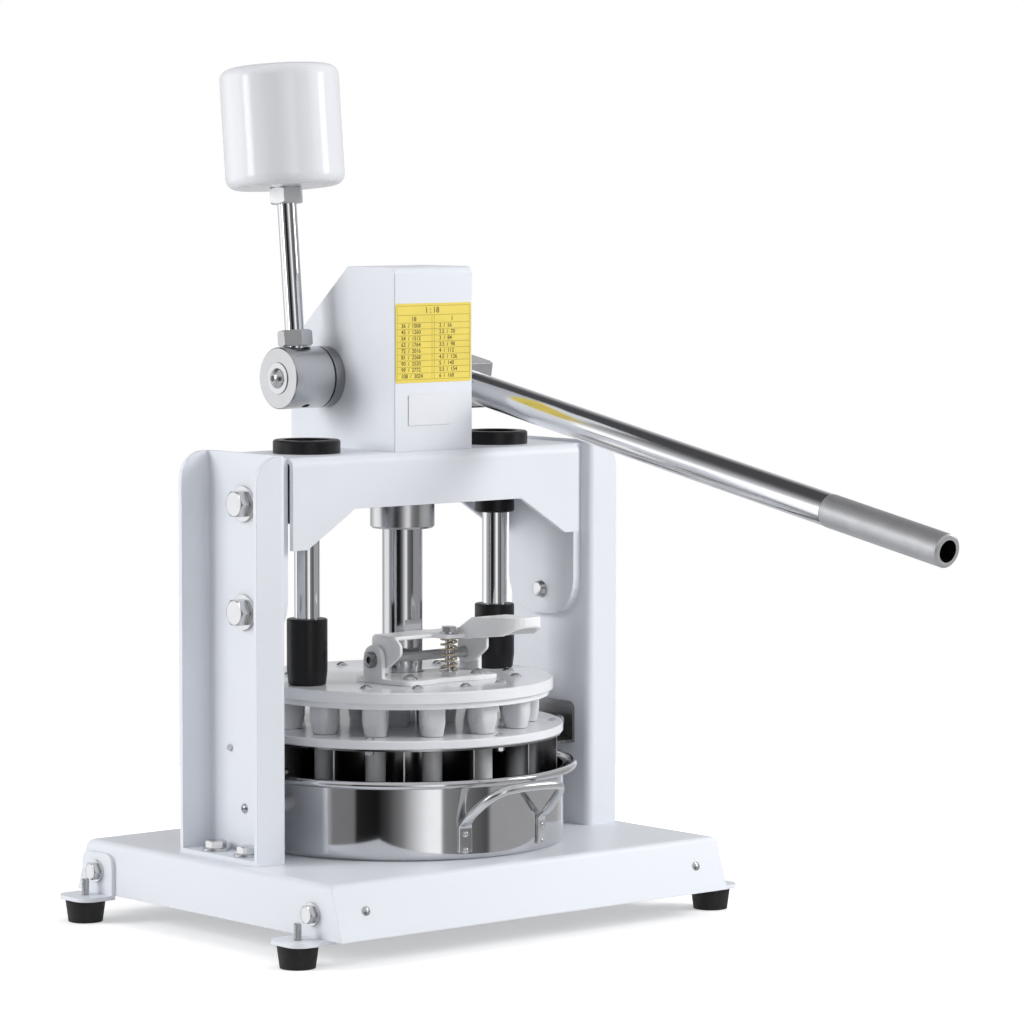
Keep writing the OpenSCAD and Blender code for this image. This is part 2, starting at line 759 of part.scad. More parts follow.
// Gear housing: a folded cover with a sloping rear roof
module housing_profile(inset, open_low) {
  z0 = head_top_z;
  y0 = -housing_front + inset;
  y1 = housing_rear_y - inset;
  y_floor = head_d / 2 - 3 * head_bend_r / 2;
  z_top = housing_top_z - inset;
  slope = [housing_rear_y - roof_break_y, -(housing_h - housing_rear_h)];
  shift = inset * norm(slope) / slope.x;
  z_at_rear = z0 + housing_rear_h + slope.y / slope.x * (y1 - housing_rear_y) - shift;
  y_at_top = roof_break_y + (z_top + shift - housing_top_z) * slope.x / slope.y;
  floor_z = z0 + inset;
  low_z = z0 - open_low;
  polygon(rounded([[y0, low_z], [y_floor, low_z], [y_floor, floor_z], [y1, floor_z],
    [y1, z_at_rear], [y_at_top, z_top], [y0, z_top]], [0, 0, 0, 0, 0, 0, housing_bend_r - inset]));
}
module gear_housing() {
  color("whitesmoke") difference() {
    along_x(housing_w) housing_profile(0, 0);
    along_x(housing_w - 2 * housing_sheet) housing_profile(housing_sheet, cut);
    translate([0, shaft_y, shaft_z]) rotate([0, 90, 0])
      cylinder(h = housing_w + 2 * cut, d = bearing_spigot_d + 2 * seat_gap, center = true);
  }
}

// Guide bush of the ram, seated under the head
ram_spigot_d = ram_d + 14;
module ram_guide_bush() {
  low_z = head_top_z - ram_bush_drop;
  edge = 2;
  color("lightgray") rotate_extrude() polygon([
    [ram_d / 2 + run_gap, low_z], [ram_bush_d / 2 - edge, low_z], [ram_bush_d / 2, low_z + edge],
    [ram_bush_d / 2, head_low_z], [ram_spigot_d / 2, head_low_z], [ram_spigot_d / 2, head_top_z],
    [ram_d / 2 + run_gap, head_top_z]]);
}

// Flanged bushes of the guide rods
module guide_bush() {
  edge = 1.5;
  top_z = head_top_z + bush_ring_h;
  translate([guide_x, 0, 0]) rotate_extrude() polygon([
    [guide_d / 2 + run_gap, head_top_z - bush_drop], [bush_d / 2 - edge, head_top_z - bush_drop],
    [bush_d / 2, head_top_z - bush_drop + edge], [bush_d / 2, head_top_z],
    [bush_ring_d / 2, head_top_z], [bush_ring_d / 2, top_z - edge], [bush_ring_d / 2 - edge, top_z],
    [bush_recess_d / 2, top_z], [bush_recess_d / 2, top_z - bush_recess_h],
    [guide_d / 2 + run_gap, top_z - bush_recess_h]]);
}
module left_guide_bush() { color("dimgray") mirror([1, 0, 0]) guide_bush(); }
module right_guide_bush() { color("dimgray") guide_bush(); }

// Flanged bearings of the lever shaft in the housing's walls
module shaft_bearing() {
  inner_x = housing_x - housing_sheet - bearing_spigot_in;
  translate([0, shaft_y, shaft_z]) rotate([0, 90, 0]) rotate_extrude() polygon([
    [shaft_d / 2 + run_gap, inner_x], [bearing_spigot_d / 2, inner_x], [bearing_spigot_d / 2, housing_x],
    [bearing_flange_d / 2, housing_x], [bearing_flange_d / 2, bearing_out_x],
    [shaft_d / 2 + run_gap, bearing_out_x]]);
}
module left_shaft_bearing() { color("darkgray") mirror([1, 0, 0]) shaft_bearing(); }
module right_shaft_bearing() { color("darkgray") shaft_bearing(); }

// Hold-down brackets over the pan's rim
module pan_clamp() {
  corner_r = 8;
  y0 = -clamp_w / 2;
  y1 = clamp_w / 2;
  difference() {
    union() {
      translate([web_x - clamp_t / 2, 0, 0]) along_x(clamp_t) polygon(rounded(
        [[y0, clamp_low_z], [y1, clamp_low_z], [y1, clamp_low_z + clamp_h], [y0, clamp_low_z + clamp_h]],
        [0, 0, corner_r, corner_r]));
      translate([0, 0, clamp_low_z]) linear_extrude(clamp_t) polygon(rounded(
        [[web_x, y0], [web_x, y1], [web_x - clamp_lip, y1], [web_x - clamp_lip, y0]],
        [0, 0, corner_r, corner_r]));
    }
    clamp_screw_places() translate([0, 0, -cut]) cylinder(h = 2 * clamp_t, d = m6[0] + 2 * seat_gap);
  }
}
module left_pan_clamp() { color("gray") mirror([1, 0, 0]) pan_clamp(); }
module right_pan_clamp() { color("gray") pan_clamp(); }

// Screws of the brackets and of the side guides: each frame points outwards through the web
module clamp_screw_places() {
  for (side = [-1, 1], s = [-1, 1])
    translate([side * (web_x - clamp_t), s * clamp_screw_gap / 2, clamp_low_z + clamp_h / 2])
      facing_x(side) children();
}
module side_guide_places() {
  for (side = [-1, 1]) translate([side * web_x, 0, base_top_z + side_guide_z]) facing_x(side) children();
}
module pan_clamp_screws() {
  tip = 2;
  color("silver") {
    clamp_screw_places() rotate([180, 0, 0]) pan_screw(m6[0], clamp_t + column_sheet + tip);
    side_guide_places() translate([0, 0, column_sheet]) pan_screw(m5[0], column_sheet + side_guide_d * 0.6);
  }
}

// Nylon studs on the columns that centre the pan
module pan_side_guides() {
  reach = web_x - pan_r - side_guide_gap;
  color("white") side_guide_places() translate([0, 0, -reach]) difference() {
    cylinder(h = reach, d = side_guide_d);
    translate([0, 0, reach - side_guide_d * 0.6 - cut]) cylinder(h = reach, d = m5[0] + 2 * seat_gap);
  }
}

// Pan: a drawn sheet bowl with a rolled rim
module dough_pan() {
  r = pan_corner_r;
  bead_z = rim_top_z - rim_bead / 2;
  bead_r = rim_r - rim_bead / 2;
  ri = r - pan_sheet;
  bend = [for (i = [0:arc_steps]) 90 * i / arc_steps];
  color("silver") rotate_extrude() union() {
    polygon(concat(
      [[0, base_top_z]],
      [for (a = bend) [pan_r - r + r * sin(a), base_top_z + r - r * cos(a)]],
      [[pan_r, bead_z - pan_sheet / 2], [bead_r, bead_z - pan_sheet / 2], [bead_r, bead_z + pan_sheet / 2],
       [pan_in_r, bead_z + pan_sheet / 2]],
      [for (a = bend) [pan_r - r + ri * cos(a), base_top_z + r - ri * sin(a)]],
      [[0, pan_floor_z]]));
    translate([bead_r, bead_z]) circle(d = rim_bead);
  }
}

// Pan handle: a bent rod with flattened, riveted ends
handle_turn = asin(handle_span / pan_r);
module rod_between(a, b, d) {
  v = b - a;
  translate(a) rotate([0, acos(v.z / norm(v)), atan2(v.y, v.x)]) cylinder(h = norm(v), d = d);
}
module handle_tab_places() {
  for (s = [-1, 1]) rotate(front_turn + s * handle_turn)
    translate([pan_r, 0, base_top_z + handle_tab_z]) children();
}
module pan_handle() {
  d = handle_rod_d;
  root_r = pan_r + handle_tab_t + 0.4 * d;
  root_z = base_top_z + handle_tab_z + handle_tab_h / 2;
  root = [root_r * sin(handle_turn), -root_r * cos(handle_turn), root_z];
  elbow = [handle_bar_x, -pan_r - handle_stand, base_top_z + handle_bar_z];
  color("silver") difference() {
    union() {
      both_sides() {
        rod_between(elbow, root, d);
        rod_between(root - [0, 0, handle_tab_h / 3], root, d);
        for (p = [elbow, root]) translate(p) sphere(d = 1.05 * d);
      }
      rod_between([-elbow.x, elbow.y, elbow.z], elbow, d);
      handle_tab_places() translate([0, -handle_tab_w / 2, -handle_tab_h / 2])
        cube([handle_tab_t, handle_tab_w, handle_tab_h]);
    }
    handle_rivet_places() cylinder(h = 3 * handle_tab_t, d = handle_rivet_d + 2 * seat_gap, center = true);
  }
}
handle_rivet_d = 4;
module handle_rivet_places() {
  handle_tab_places() for (z = [-1, 1]) translate([handle_tab_t, 0, (z * 0.5 - 0.42) * handle_tab_h * 0.5])
    rotate([0, 90, 0]) children();
}
module pan_handle_rivets() {
  head_t = 1.6;
  color("silver") handle_rivet_places() {
    rotate_extrude() intersection() {
      translate([0, head_t - handle_rivet_d]) circle(r = handle_rivet_d);
      square([handle_rivet_d * 0.85, head_t]);
    }
    translate([0, 0, -handle_tab_t]) cylinder(h = handle_tab_t + head_t / 2, d = handle_rivet_d);
  }
}

// Lever shaft with a keyway and a tapped end
key_w = 8;
key_h = 7;
key_sink = 4;
end_screw_reach = 25;
module lever_shaft() {
  left_x = -hub_out_x + washer_sink + cut;
  right_x = block_out_x - cut;
  color("silver") translate([0, shaft_y, shaft_z]) difference() {
    translate([left_x, 0, 0]) rotate([0, 90, 0]) cylinder(h = right_x - left_x, d = shaft_d);
    translate([left_x - cut, 0, 0]) rotate([0, 90, 0])
      cylinder(h = end_screw_reach + 2 * cut, d = m10[0] + 2 * seat_gap);
    translate([-gear_face / 2, -key_w / 2, shaft_d / 2 - key_sink]) cube([gear_face, key_w, shaft_d]);
  }
}

// Pinion with involute teeth, one of which points at the ram
base_r = pitch_r * cos(gear_angle);
tip_r = pitch_r + gear_module;
root_r = pitch_r - 1.25 * gear_module;
flank_steps = 5;
function involute(a) = tan(a) - a * PI / 180;
function half_tooth(r) =
  let (half_width = (PI * gear_module - gear_play) / (4 * pitch_r))
  (half_width + involute(gear_angle) - involute(acos(base_r / r))) * 180 / PI;
flank = [for (i = [0:flank_steps]) let (r = base_r + (tip_r - base_r) * i / flank_steps) [r, half_tooth(r)]];
module pinion() {
  rise = concat([[root_r, flank[0][1]]], flank);
  last = len(rise) - 1;
  teeth = [for (t = [0:gear_teeth - 1]) let (mid = 180 + t * 360 / gear_teeth)
    each concat(
      [for (i = [0:last]) rise[i][0] * [cos(mid - rise[i][1]), sin(mid - rise[i][1])]],
      [for (i = [last:-1:0]) rise[i][0] * [cos(mid + rise[i][1]), sin(mid + rise[i][1])]])];
  color("dimgray") translate([0, shaft_y, shaft_z]) along_x(gear_face) difference() {
    polygon(teeth);
    circle(d = shaft_d + 2 * run_gap);
    translate([-key_w / 2 - run_gap, 0]) square([key_w + 2 * run_gap, key_top + run_gap]);
  }
}
key_top = shaft_d / 2 - key_sink + key_h;
module pinion_key() {
  color("gray") translate([-gear_face / 2, shaft_y - key_w / 2 + run_gap, shaft_z + shaft_d / 2 - key_sink])
    cube([gear_face, key_w - 2 * run_gap, key_h]);
}

// Frame of the counterweight rod: its +Z runs along the rod from the shaft axis
module on_rod() { translate([-hub_mid_x, shaft_y, shaft_z]) rotate([-weight_lean, 0, 0]) children(); }
rod_seat = shaft_d / 2 + 2;
rod_in_weight = weight_len * 0.55;
set_screw_turn = 155;
module counterweight_hub() {
  edge = 1;
  seat_r = end_washer_d / 2 + seat_gap;
  color("lightgray") difference() {
    translate([-hub_in_x, shaft_y, shaft_z]) rotate([0, -90, 0]) rotate_extrude() polygon([
      [shaft_d / 2 + run_gap, 0], [hub_d / 2 - edge, 0], [hub_d / 2, edge], [hub_d / 2, hub_len - edge],
      [hub_d / 2 - edge, hub_len], [seat_r, hub_len], [seat_r, hub_len - washer_sink],
      [shaft_d / 2 + run_gap, hub_len - washer_sink]]);
    on_rod() translate([0, 0, rod_seat]) cylinder(h = hub_d, d = rod_d + 2 * seat_gap);
    hub_screw_place() cylinder(h = hub_d, d = m8[0] + 2 * seat_gap);
  }
}
module hub_screw_place() {
  translate([-hub_mid_x, shaft_y, shaft_z]) rotate([set_screw_turn, 0, 0])
    translate([0, 0, shaft_d / 2]) children();
}
end_washer_t = 2.5;
washer_sink = 1.5;
module hub_end_washer() {
  color("silver") translate([-hub_out_x + washer_sink, shaft_y, shaft_z]) rotate([0, -90, 0]) difference() {
    cylinder(h = end_washer_t, d = end_washer_d);
    hole(end_washer_t, m10[0]);
  }
}
module hub_end_screw() {
  color("silver") translate([-hub_out_x + washer_sink - end_washer_t, shaft_y, shaft_z]) rotate([0, -90, 0])
    pan_screw(m10[0], end_screw_reach);
}
module counterweight_rod() {
  color("silver") on_rod() translate([0, 0, rod_seat])
    cylinder(h = weight_from + rod_in_weight - rod_seat, d = rod_d);
}
low_nut_turn = 15;
top_nut_turn = 45;
module rod_lock_nuts() {
  size = [rod_d, rod_nut_af, rod_nut_h];
  color("silver") on_rod() for (seat = [[hub_d / 2 + rod_nut_gap + rod_nut_h, low_nut_turn], [weight_from, top_nut_turn]])
    translate([0, 0, seat[0]]) rotate(seat[1]) intersection() {
      hex_nut(size, rod_nut_h);
      chamfered_nut(rod_nut_h);
    }
}
// Turned envelope that takes the corners off a lock nut
module chamfered_nut(h) {
  r = rod_nut_af / 2 / cos(30);
  flat_r = rod_nut_af / 2;
  drop = (r - flat_r) * 0.8;
  rotate_extrude() polygon([[0, -h], [flat_r, -h], [r, -h + drop], [r, -drop], [flat_r, 0], [0, 0]]);
}
module counterweight() {
  r = weight_d / 2;
  e = weight_edge_r;
  color("white") on_rod() translate([0, 0, weight_from]) difference() {
    rotate_extrude() union() {
      square([r - e, weight_len]);
      translate([0, e]) square([r, weight_len - 2 * e]);
      for (z = [e, weight_len - e]) translate([r - e, z]) circle(r = e);
    }
    translate([0, 0, -cut]) cylinder(h = rod_in_weight + cut, d = rod_d + 2 * seat_gap);
  }
}

// Frame of the handle: its +Z runs along the handle from the shaft axis
module on_handle() { translate([handle_x, shaft_y, shaft_z]) rotate([90 + handle_drop, 0, 0]) children(); }
block_screw_t = (block_front + handle_seat) / 2;
module handle_block() {
  c = block_chamfer;
  h = block_h / 2;
  w = block_w / 2;
  color("silver") on_handle() difference() {
    intersection() {
      along_x(block_w) polygon([[-h + c, -block_rear], [h - c, -block_rear], [h, -block_rear + c],
        [h, block_front - c], [h - c, block_front], [-h + c, block_front],
        [-h, block_front - c], [-h, -block_rear + c]]);
      translate([0, 0, -block_rear]) linear_extrude(block_rear + block_front) polygon([
        [-w + c, -h], [w - c, -h], [w, -h + c], [w, h - c],
        [w - c, h], [-w + c, h], [-w, h - c], [-w, -h + c]]);
    }
    rotate([0, 90, 0]) cylinder(h = block_w + 2 * cut, d = shaft_d + 2 * run_gap, center = true);
    translate([0, 0, handle_seat]) cylinder(h = block_front, d = handle_d + 2 * run_gap);
    block_screw_places() cylinder(h = block_h, d = m8[0] + 2 * seat_gap);
  }
}
module block_screw_places() {
  translate([0, 0, block_screw_t]) rotate([-90, 0, 0]) translate([0, 0, handle_d / 2]) children();
  translate([0, 0, 0]) rotate([-90, 0, 0]) translate([0, 0, shaft_d / 2]) children();
}
module handle_tube() {
  neck_d = grip_d - 2 * grip_wall;
  bore_d = handle_d - 2 * handle_wall;
  grip_from = handle_len - grip_len;
  color("silver") on_handle() difference() {
    union() {
      translate([0, 0, handle_seat]) cylinder(h = grip_from - handle_seat, d = handle_d);
      translate([0, 0, grip_from - cut]) cylinder(h = grip_len + cut, d = neck_d);
    }
    translate([0, 0, handle_seat - cut]) cylinder(h = handle_len, d = bore_d);
  }
}
module handle_grip() {
  neck_d = grip_d - 2 * grip_wall;
  edge = 0.8;
  color("darkgray") on_handle() translate([0, 0, handle_len - grip_len]) rotate_extrude() polygon([
    [neck_d / 2 + run_gap, 0], [grip_d / 2 - edge, 0], [grip_d / 2, edge], [grip_d / 2, grip_len - 2 * edge],
    [grip_d / 2 - 2 * edge, grip_len], [neck_d / 2 + run_gap, grip_len]]);
}

// Set screws of the hub and of the handle block
module set_screw(h) {
  difference() {
    cylinder(h = h, d = m8[0]);
    translate([0, 0, h - m8[0] / 2]) cylinder(h = m8[0], d = m8[0] / 2, $fn = 6);
  }
}
module hub_set_screws() {
  length = 8;
  lift = run_gap;
  color("dimgray") {
    hub_screw_place() translate([0, 0, lift]) set_screw(length);
    on_handle() block_screw_places() translate([0, 0, lift]) set_screw(length);
  }
}

// Ram with a rack cut in its rear and a notch for the latch in its front
module ram() {
  pitch = PI * gear_module;
  half_gap = (pitch + gear_play) / 4;
  root_y = rack_pitch_y - 1.25 * gear_module;
  out_y = rack_pitch_y + gear_module + cut;
  root_gap = half_gap + (root_y - rack_pitch_y) * tan(gear_angle);
  out_gap = half_gap + (out_y - rack_pitch_y) * tan(gear_angle);
  teeth_up = floor((ram_top_z - shaft_z) / pitch);
  teeth_down = ceil((ram_travel + 2 * gear_module) / pitch);
  notch_low_z = latch_low_z - pawl_play;
  notch_h = latch_lever_t + press_travel + pawl_play + pawl_rise;
  edge = 2;
  color("silver") difference() {
    translate([0, 0, carrier_top_z]) rotate_extrude() polygon([[0, 0], [ram_d / 2, 0],
      [ram_d / 2, ram_top_z - carrier_top_z - edge], [ram_d / 2 - edge, ram_top_z - carrier_top_z],
      [0, ram_top_z - carrier_top_z]]);
    for (i = [-teeth_down:teeth_up]) translate([0, 0, shaft_z + i * pitch]) along_x(2 * ram_d) polygon([
      [root_y, -root_gap], [root_y, root_gap], [out_y, out_gap], [out_y, -out_gap]]);
    translate([-ram_d, -ram_d - notch_y, notch_low_z]) cube([2 * ram_d, ram_d, notch_h]);
    translate([0, 0, carrier_top_z - cut]) cylinder(h = ram_screw_reach + 2 * cut, d = m12[0] + 2 * seat_gap);
  }
}
ram_screw_reach = 32;
module ram_screw() {
  color("silver") translate([0, 0, knife_top_z]) rotate([180, 0, 0])
    hex_bolt(m12, knife_plate_t + carrier_t + ram_screw_reach);
}

// Holes for the posts' stems
module stem_holes(h) {
  outer_places(post_r) cylinder(h = h, d = stem_hole_d);
  inner_places(inner_post_r) cylinder(h = h, d = stem_hole_d);
}
module knife_carrier() {
  edge = 1;
  color("white") difference() {
    translate([0, 0, carrier_low_z]) rotate_extrude() polygon([
      [0, 0], [carrier_r - edge, 0], [carrier_r, edge],
      [carrier_r, carrier_t - edge], [carrier_r - edge, carrier_t], [0, carrier_t]]);
    translate([0, 0, carrier_low_z - cut]) {
      cylinder(h = carrier_t + 2 * cut, d = m12[0] + 2 * seat_gap);
      stem_holes(carrier_t + 2 * cut);
      plate_bolt_places() cylinder(h = carrier_t + 2 * cut, d = m5[0] + 2 * seat_gap);
    }
  }
}
module knife_plate() {
  color("silver") difference() {
    translate([0, 0, knife_top_z]) cylinder(h = knife_plate_t, r = knife_plate_r);
    translate([0, 0, knife_top_z - cut]) {
      cylinder(h = knife_plate_t + 2 * cut, d = m12[0] + 2 * seat_gap);
      stem_holes(knife_plate_t + 2 * cut);
      plate_bolt_places() cylinder(h = knife_plate_t + 2 * cut, d = m5[0] + 2 * seat_gap);
    }
  }
}

// Section of a knife: drawn in (across, z), ground to an edge at the bottom
module knife_section() {
  t = knife_t / 2;
  e = knife_edge / 2;
  polygon([[-t, knife_top_z], [-t, knife_low_z + knife_bevel], [-e, knife_low_z],
       [e, knife_low_z], [t, knife_low_z + knife_bevel], [t, knife_top_z]]);
}
module radial_knives() {
  inner = ring_r;
  color("silver") difference() {
    outer_places(0, cell_turn / 2) translate([(inner + knife_reach) / 2, 0, 0])
      along_x(knife_reach - inner) knife_section();
    translate([0, 0, knife_low_z - cut]) cylinder(h = knife_h + 2 * cut, r = ring_r + knife_t / 2);
  }
}
module ring_knife() {
  color("silver") rotate_extrude() translate([ring_r, 0]) knife_section();
}
module cross_knives() {
  relief_d = m12[0] * 3;
  relief_h = washer_t + m12[2] + free_gap;
  color("silver") difference() {
    intersection() {
      union() for (i = [0:inner_cells / 2 - 1]) rotate(front_turn + i * 360 / inner_cells)
        along_x(2 * ring_r) knife_section();
      translate([0, 0, knife_low_z - cut]) cylinder(h = knife_h + 2 * cut, r = ring_r - knife_t / 2);
    }
    translate([0, 0, knife_top_z - relief_h]) cylinder(h = relief_h + cut, d = relief_d);
  }
}

// Bolts that hold the knife plate under its carrier, in every second outer cell
module plate_bolt_places() {
  for (i = [0:2:outer_cells - 1])
    rotate(front_turn + i * cell_turn) translate([plate_bolt_r, 0, 0]) children();
}
module knife_plate_bolts() {
  nut_h = 4;
  color("silver") plate_bolt_places() {
    translate([0, 0, carrier_top_z]) pan_screw(m5[0], carrier_t + knife_plate_t + nut_h + 1);
    translate([0, 0, knife_top_z]) hex_nut(m5, nut_h);
  }
}

// Places of the disc screws, left out where a sleeve covers them
function disc_screw_at(i) =
  let (a = front_turn + i * cell_turn - disc_screw_turn)
  disc_screw_r * [cos(a), sin(a)];
disc_screw_spots = [for (i = [0:outer_cells - 1]) let (p = disc_screw_at(i))
  if (norm([abs(p.x) - guide_x, p.y]) > sleeve_d / 2 + m6[0] + free_gap) p];

// Press disc in two layers, with the ram passing freely through it
module disc_holes(h) {
  cylinder(h = h, d = ram_d + 2 * free_gap);
  for (p = disc_screw_spots) translate(p) cylinder(h = h, d = m6[0] + 2 * seat_gap);
}
module press_disc() {
  edge = 1.5;
  color("white") difference() {
    translate([0, 0, disc_low_z]) rotate_extrude() polygon([[0, 0], [disc_r, 0],
      [disc_r, disc_t - edge], [disc_r - edge, disc_t], [0, disc_t]]);
    translate([0, 0, disc_low_z - cut]) {
      disc_holes(disc_t + 2 * cut);
      both_sides() translate([guide_x, 0, 0]) cylinder(h = disc_t + 2 * cut, d = guide_d + 2 * run_gap);
      bracket_bolt_spots() cylinder(h = disc_t + 2 * cut, d = m8[0] + 2 * seat_gap);
    }
  }
}
module press_backing() {
  color("white") difference() {
    translate([0, 0, backing_low_z]) cylinder(h = backing_t, r = backing_r);
    translate([0, 0, backing_low_z - cut]) {
      disc_holes(backing_t + 2 * cut);
      outer_places(post_r) cylinder(h = backing_t + 2 * cut, d = post_spigot_d + 2 * seat_gap);
      inner_places(inner_post_r) cylinder(h = backing_t + 2 * cut, d = post_spigot_d + 2 * seat_gap);
    }
  }
}
module disc_screws() {
  color("silver") translate([0, 0, disc_top_z]) for (p = disc_screw_spots)
    translate(p) pan_screw(m6[0], disc_t + backing_t - cut);
}

// Nylon posts: a spigot in the backing, a broad head, and a stem through the carrier to the pad
screw_in_post = 10;
module post(head_r, head_w) {
  stem_top = carrier_top_z + 1.5 * free_gap;
  head_low = backing_low_z - post_head_h;
  r = head_r / 2;
  w = head_w / 2;
  s = post_d / 2;
  difference() {
    union() {
      intersection() {
        translate([0, 0, stem_top]) linear_extrude(backing_low_z - stem_top) polygon(rounded(
          [[-r, -w], [r, -w], [r, w], [-r, w]], post_corner_r * [1, 1, 1, 1]));
        along_y(2 * head_w) polygon([[-s, stem_top], [s, stem_top], [r, head_low], [r, backing_low_z],
          [-r, backing_low_z], [-r, head_low]]);
        along_x(2 * head_r) polygon([[-s, stem_top], [s, stem_top], [w, head_low], [w, backing_low_z],
          [-w, backing_low_z], [-w, head_low]]);
      }
      translate([0, 0, pad_top_z]) cylinder(h = head_low - pad_top_z, d = post_d);
      translate([0, 0, head_low]) cylinder(h = post_head_h + backing_t - run_gap, d = post_spigot_d);
    }
    translate([0, 0, pad_top_z - cut]) cylinder(h = screw_in_post + cut, d = m5[0] + 2 * seat_gap);
  }
}
module press_posts() {
  color("ghostwhite") {
    outer_places(post_r) post(post_head_r, post_head_w);
    inner_places(inner_post_r) post(post_head_w, post_head_w);
  }
}
module press_pads() {
  slot = knife_t + 2 * pad_gap;
  color("white") difference() {
    translate([0, 0, pad_low_z]) linear_extrude(pad_t) {
      difference() {
        circle(r = pad_reach);
        circle(r = ring_r + slot / 2);
        for (i = [0:outer_cells - 1]) rotate(front_turn + (i + 0.5) * cell_turn)
          translate([0, -slot / 2]) square([pad_reach + cut, slot]);
      }
      difference() {
        circle(r = ring_r - slot / 2);
        for (i = [0:inner_cells / 2 - 1]) rotate(front_turn + i * 360 / inner_cells)
          square([2 * ring_r, slot], center = true);
      }
    }
    pad_screw_places() {
      hole(pad_t, m5[0]);
      translate([0, 0, -cut]) cylinder(h = pad_screw_head_t + cut, d = 2 * m5[0] + 2 * seat_gap);
    }
  }
}
pad_screw_head_t = 3.5;
module pad_screw_places() {
  translate([0, 0, pad_low_z]) {
    outer_places(post_r) children();
    inner_places(inner_post_r) children();
  }
}
module pad_screws() {
  color("silver") pad_screw_places() {
    cylinder(h = pad_screw_head_t, d = 2 * m5[0]);
    cylinder(h = pad_t + screw_in_post - cut, d = m5[0]);
  }
}

// Guide rods set in the press disc, and the sleeves round their feet
module guide_rods() {
  top_z = head_top_z + bush_ring_h - bush_recess_h;
  edge = 1.5;
  color("silver") both_sides() translate([guide_x, 0, disc_low_z]) rotate_extrude() polygon([
    [0, 0], [guide_d / 2, 0], [guide_d / 2, top_z - disc_low_z - edge],
    [guide_d / 2 - edge, top_z - disc_low_z], [0, top_z - disc_low_z]]);
}
module guide_sleeves() {
  r = sleeve_d / 2;
  edge = 1;
  bore = guide_d / 2 + run_gap;
  color("dimgray") both_sides() translate([guide_x, 0, disc_top_z]) rotate_extrude() polygon([
    [bore, 0], [r - sleeve_taper, 0], [r - sleeve_taper / 2, edge], [r, sleeve_taper_h], [r, sleeve_h - edge],
    [r - edge, sleeve_h], [bore, sleeve_h]]);
}

// Latch bracket on the press disc: a foot plate round the ram's front and two ears for the pin
bracket_bolt_x = latch_ear_x * 0.68;
bracket_rear_y = -4;
bracket_lobe = 15;
module bracket_bolt_spots() {
  for (s = [-1, 1], y = [bracket_rear_y - 1.5 * m8[0], -spring_y])
    translate([s * bracket_bolt_x, y, 0]) children();
}
module latch_bracket() {
  x = latch_ear_x;
  r = latch_ear_r;
  side_y = -latch_y - r;
  lobe_y = -spring_y - bracket_lobe;
  lobe_x = bracket_bolt_x - bracket_lobe;
  dip_y = lobe_y + bracket_lobe / 4;
  side_x = bracket_bolt_x + bracket_lobe;
  dip_x = lobe_x - bracket_lobe;
  outline = [[-x, side_y], [-side_x, lobe_y], [-lobe_x, lobe_y], [-dip_x, dip_y], [dip_x, dip_y],
    [lobe_x, lobe_y], [side_x, lobe_y], [x, side_y], [x, bracket_rear_y], [-x, bracket_rear_y]];
  color("white") difference() {
    union() {
      translate([0, 0, disc_top_z]) linear_extrude(latch_sheet)
        polygon(rounded(outline, [0, 9, 9, 9, 9, 9, 9, 0, 3, 3]));
      for (s = [-1, 1]) translate([s * (x - latch_sheet / 2), -latch_y, 0]) along_x(latch_sheet) union() {
        translate([-r, disc_top_z]) square([2 * r, latch_z]);
        translate([0, latch_pin_z]) circle(r = r);
      }
    }
    translate([0, -latch_y, latch_pin_z]) rotate([0, 90, 0])
      cylinder(h = 3 * x, d = latch_pin_d + 2 * run_gap, center = true);
    translate([0, 0, disc_top_z - cut]) {
      cylinder(h = latch_sheet + 2 * cut, d = ram_d + 3 * free_gap);
      bracket_bolt_spots() cylinder(h = latch_sheet + 2 * cut, d = m8[0] + 2 * seat_gap);
      translate([spring_x, -spring_y, 0])
        cylinder(h = latch_sheet + 2 * cut, d = spring_bolt_d + 2 * seat_gap);
    }
  }
}
module latch_bracket_bolts() {
  color("silver") bracket_bolt_spots() translate([0, 0, bracket_top_z])
    pan_screw(m8[0], latch_sheet + disc_t - cut);
}

// Long bolt that guides the latch spring, with a nut and a washer under the spring
spring_nut_h = 4.5;
spring_washer_t = 1.5;
module latch_spring_bolt() {
  washer_d = spring_d + 2 * spring_wire;
  head_z = latch_top_z + soft_gap;
  color("silver") translate([spring_x, -spring_y, 0]) {
    translate([0, 0, bracket_top_z]) cylinder(h = spring_nut_h, d = m8[1] / cos(30), $fn = 6);
    translate([0, 0, bracket_top_z + spring_nut_h]) cylinder(h = spring_washer_t, d = washer_d);
    translate([0, 0, disc_top_z]) cylinder(h = head_z + spring_washer_t - disc_top_z, d = spring_bolt_d);
    translate([0, 0, head_z]) cylinder(h = spring_washer_t, d = washer_d);
    translate([0, 0, head_z + spring_washer_t]) cylinder(h = m8[2], d = m8[1] / cos(30), $fn = 6);
  }
}
module latch_pin() {
  head_t = 5;
  head_d = 1.6 * latch_pin_d;
  x = latch_ear_x;
  color("dimgray") translate([0, -latch_y, latch_pin_z]) rotate([0, 90, 0]) {
    cylinder(h = 2 * x + 2 * head_t, d = latch_pin_d, center = true);
    translate([0, 0, x]) cylinder(h = head_t, d = head_d / cos(30), $fn = 6);
    translate([0, 0, -x - head_t]) difference() {
      cylinder(h = head_t, d = head_d);
      translate([0, 0, -cut]) cylinder(h = head_t * 0.7, d = latch_pin_d * 0.6, $fn = 6);
    }
  }
}

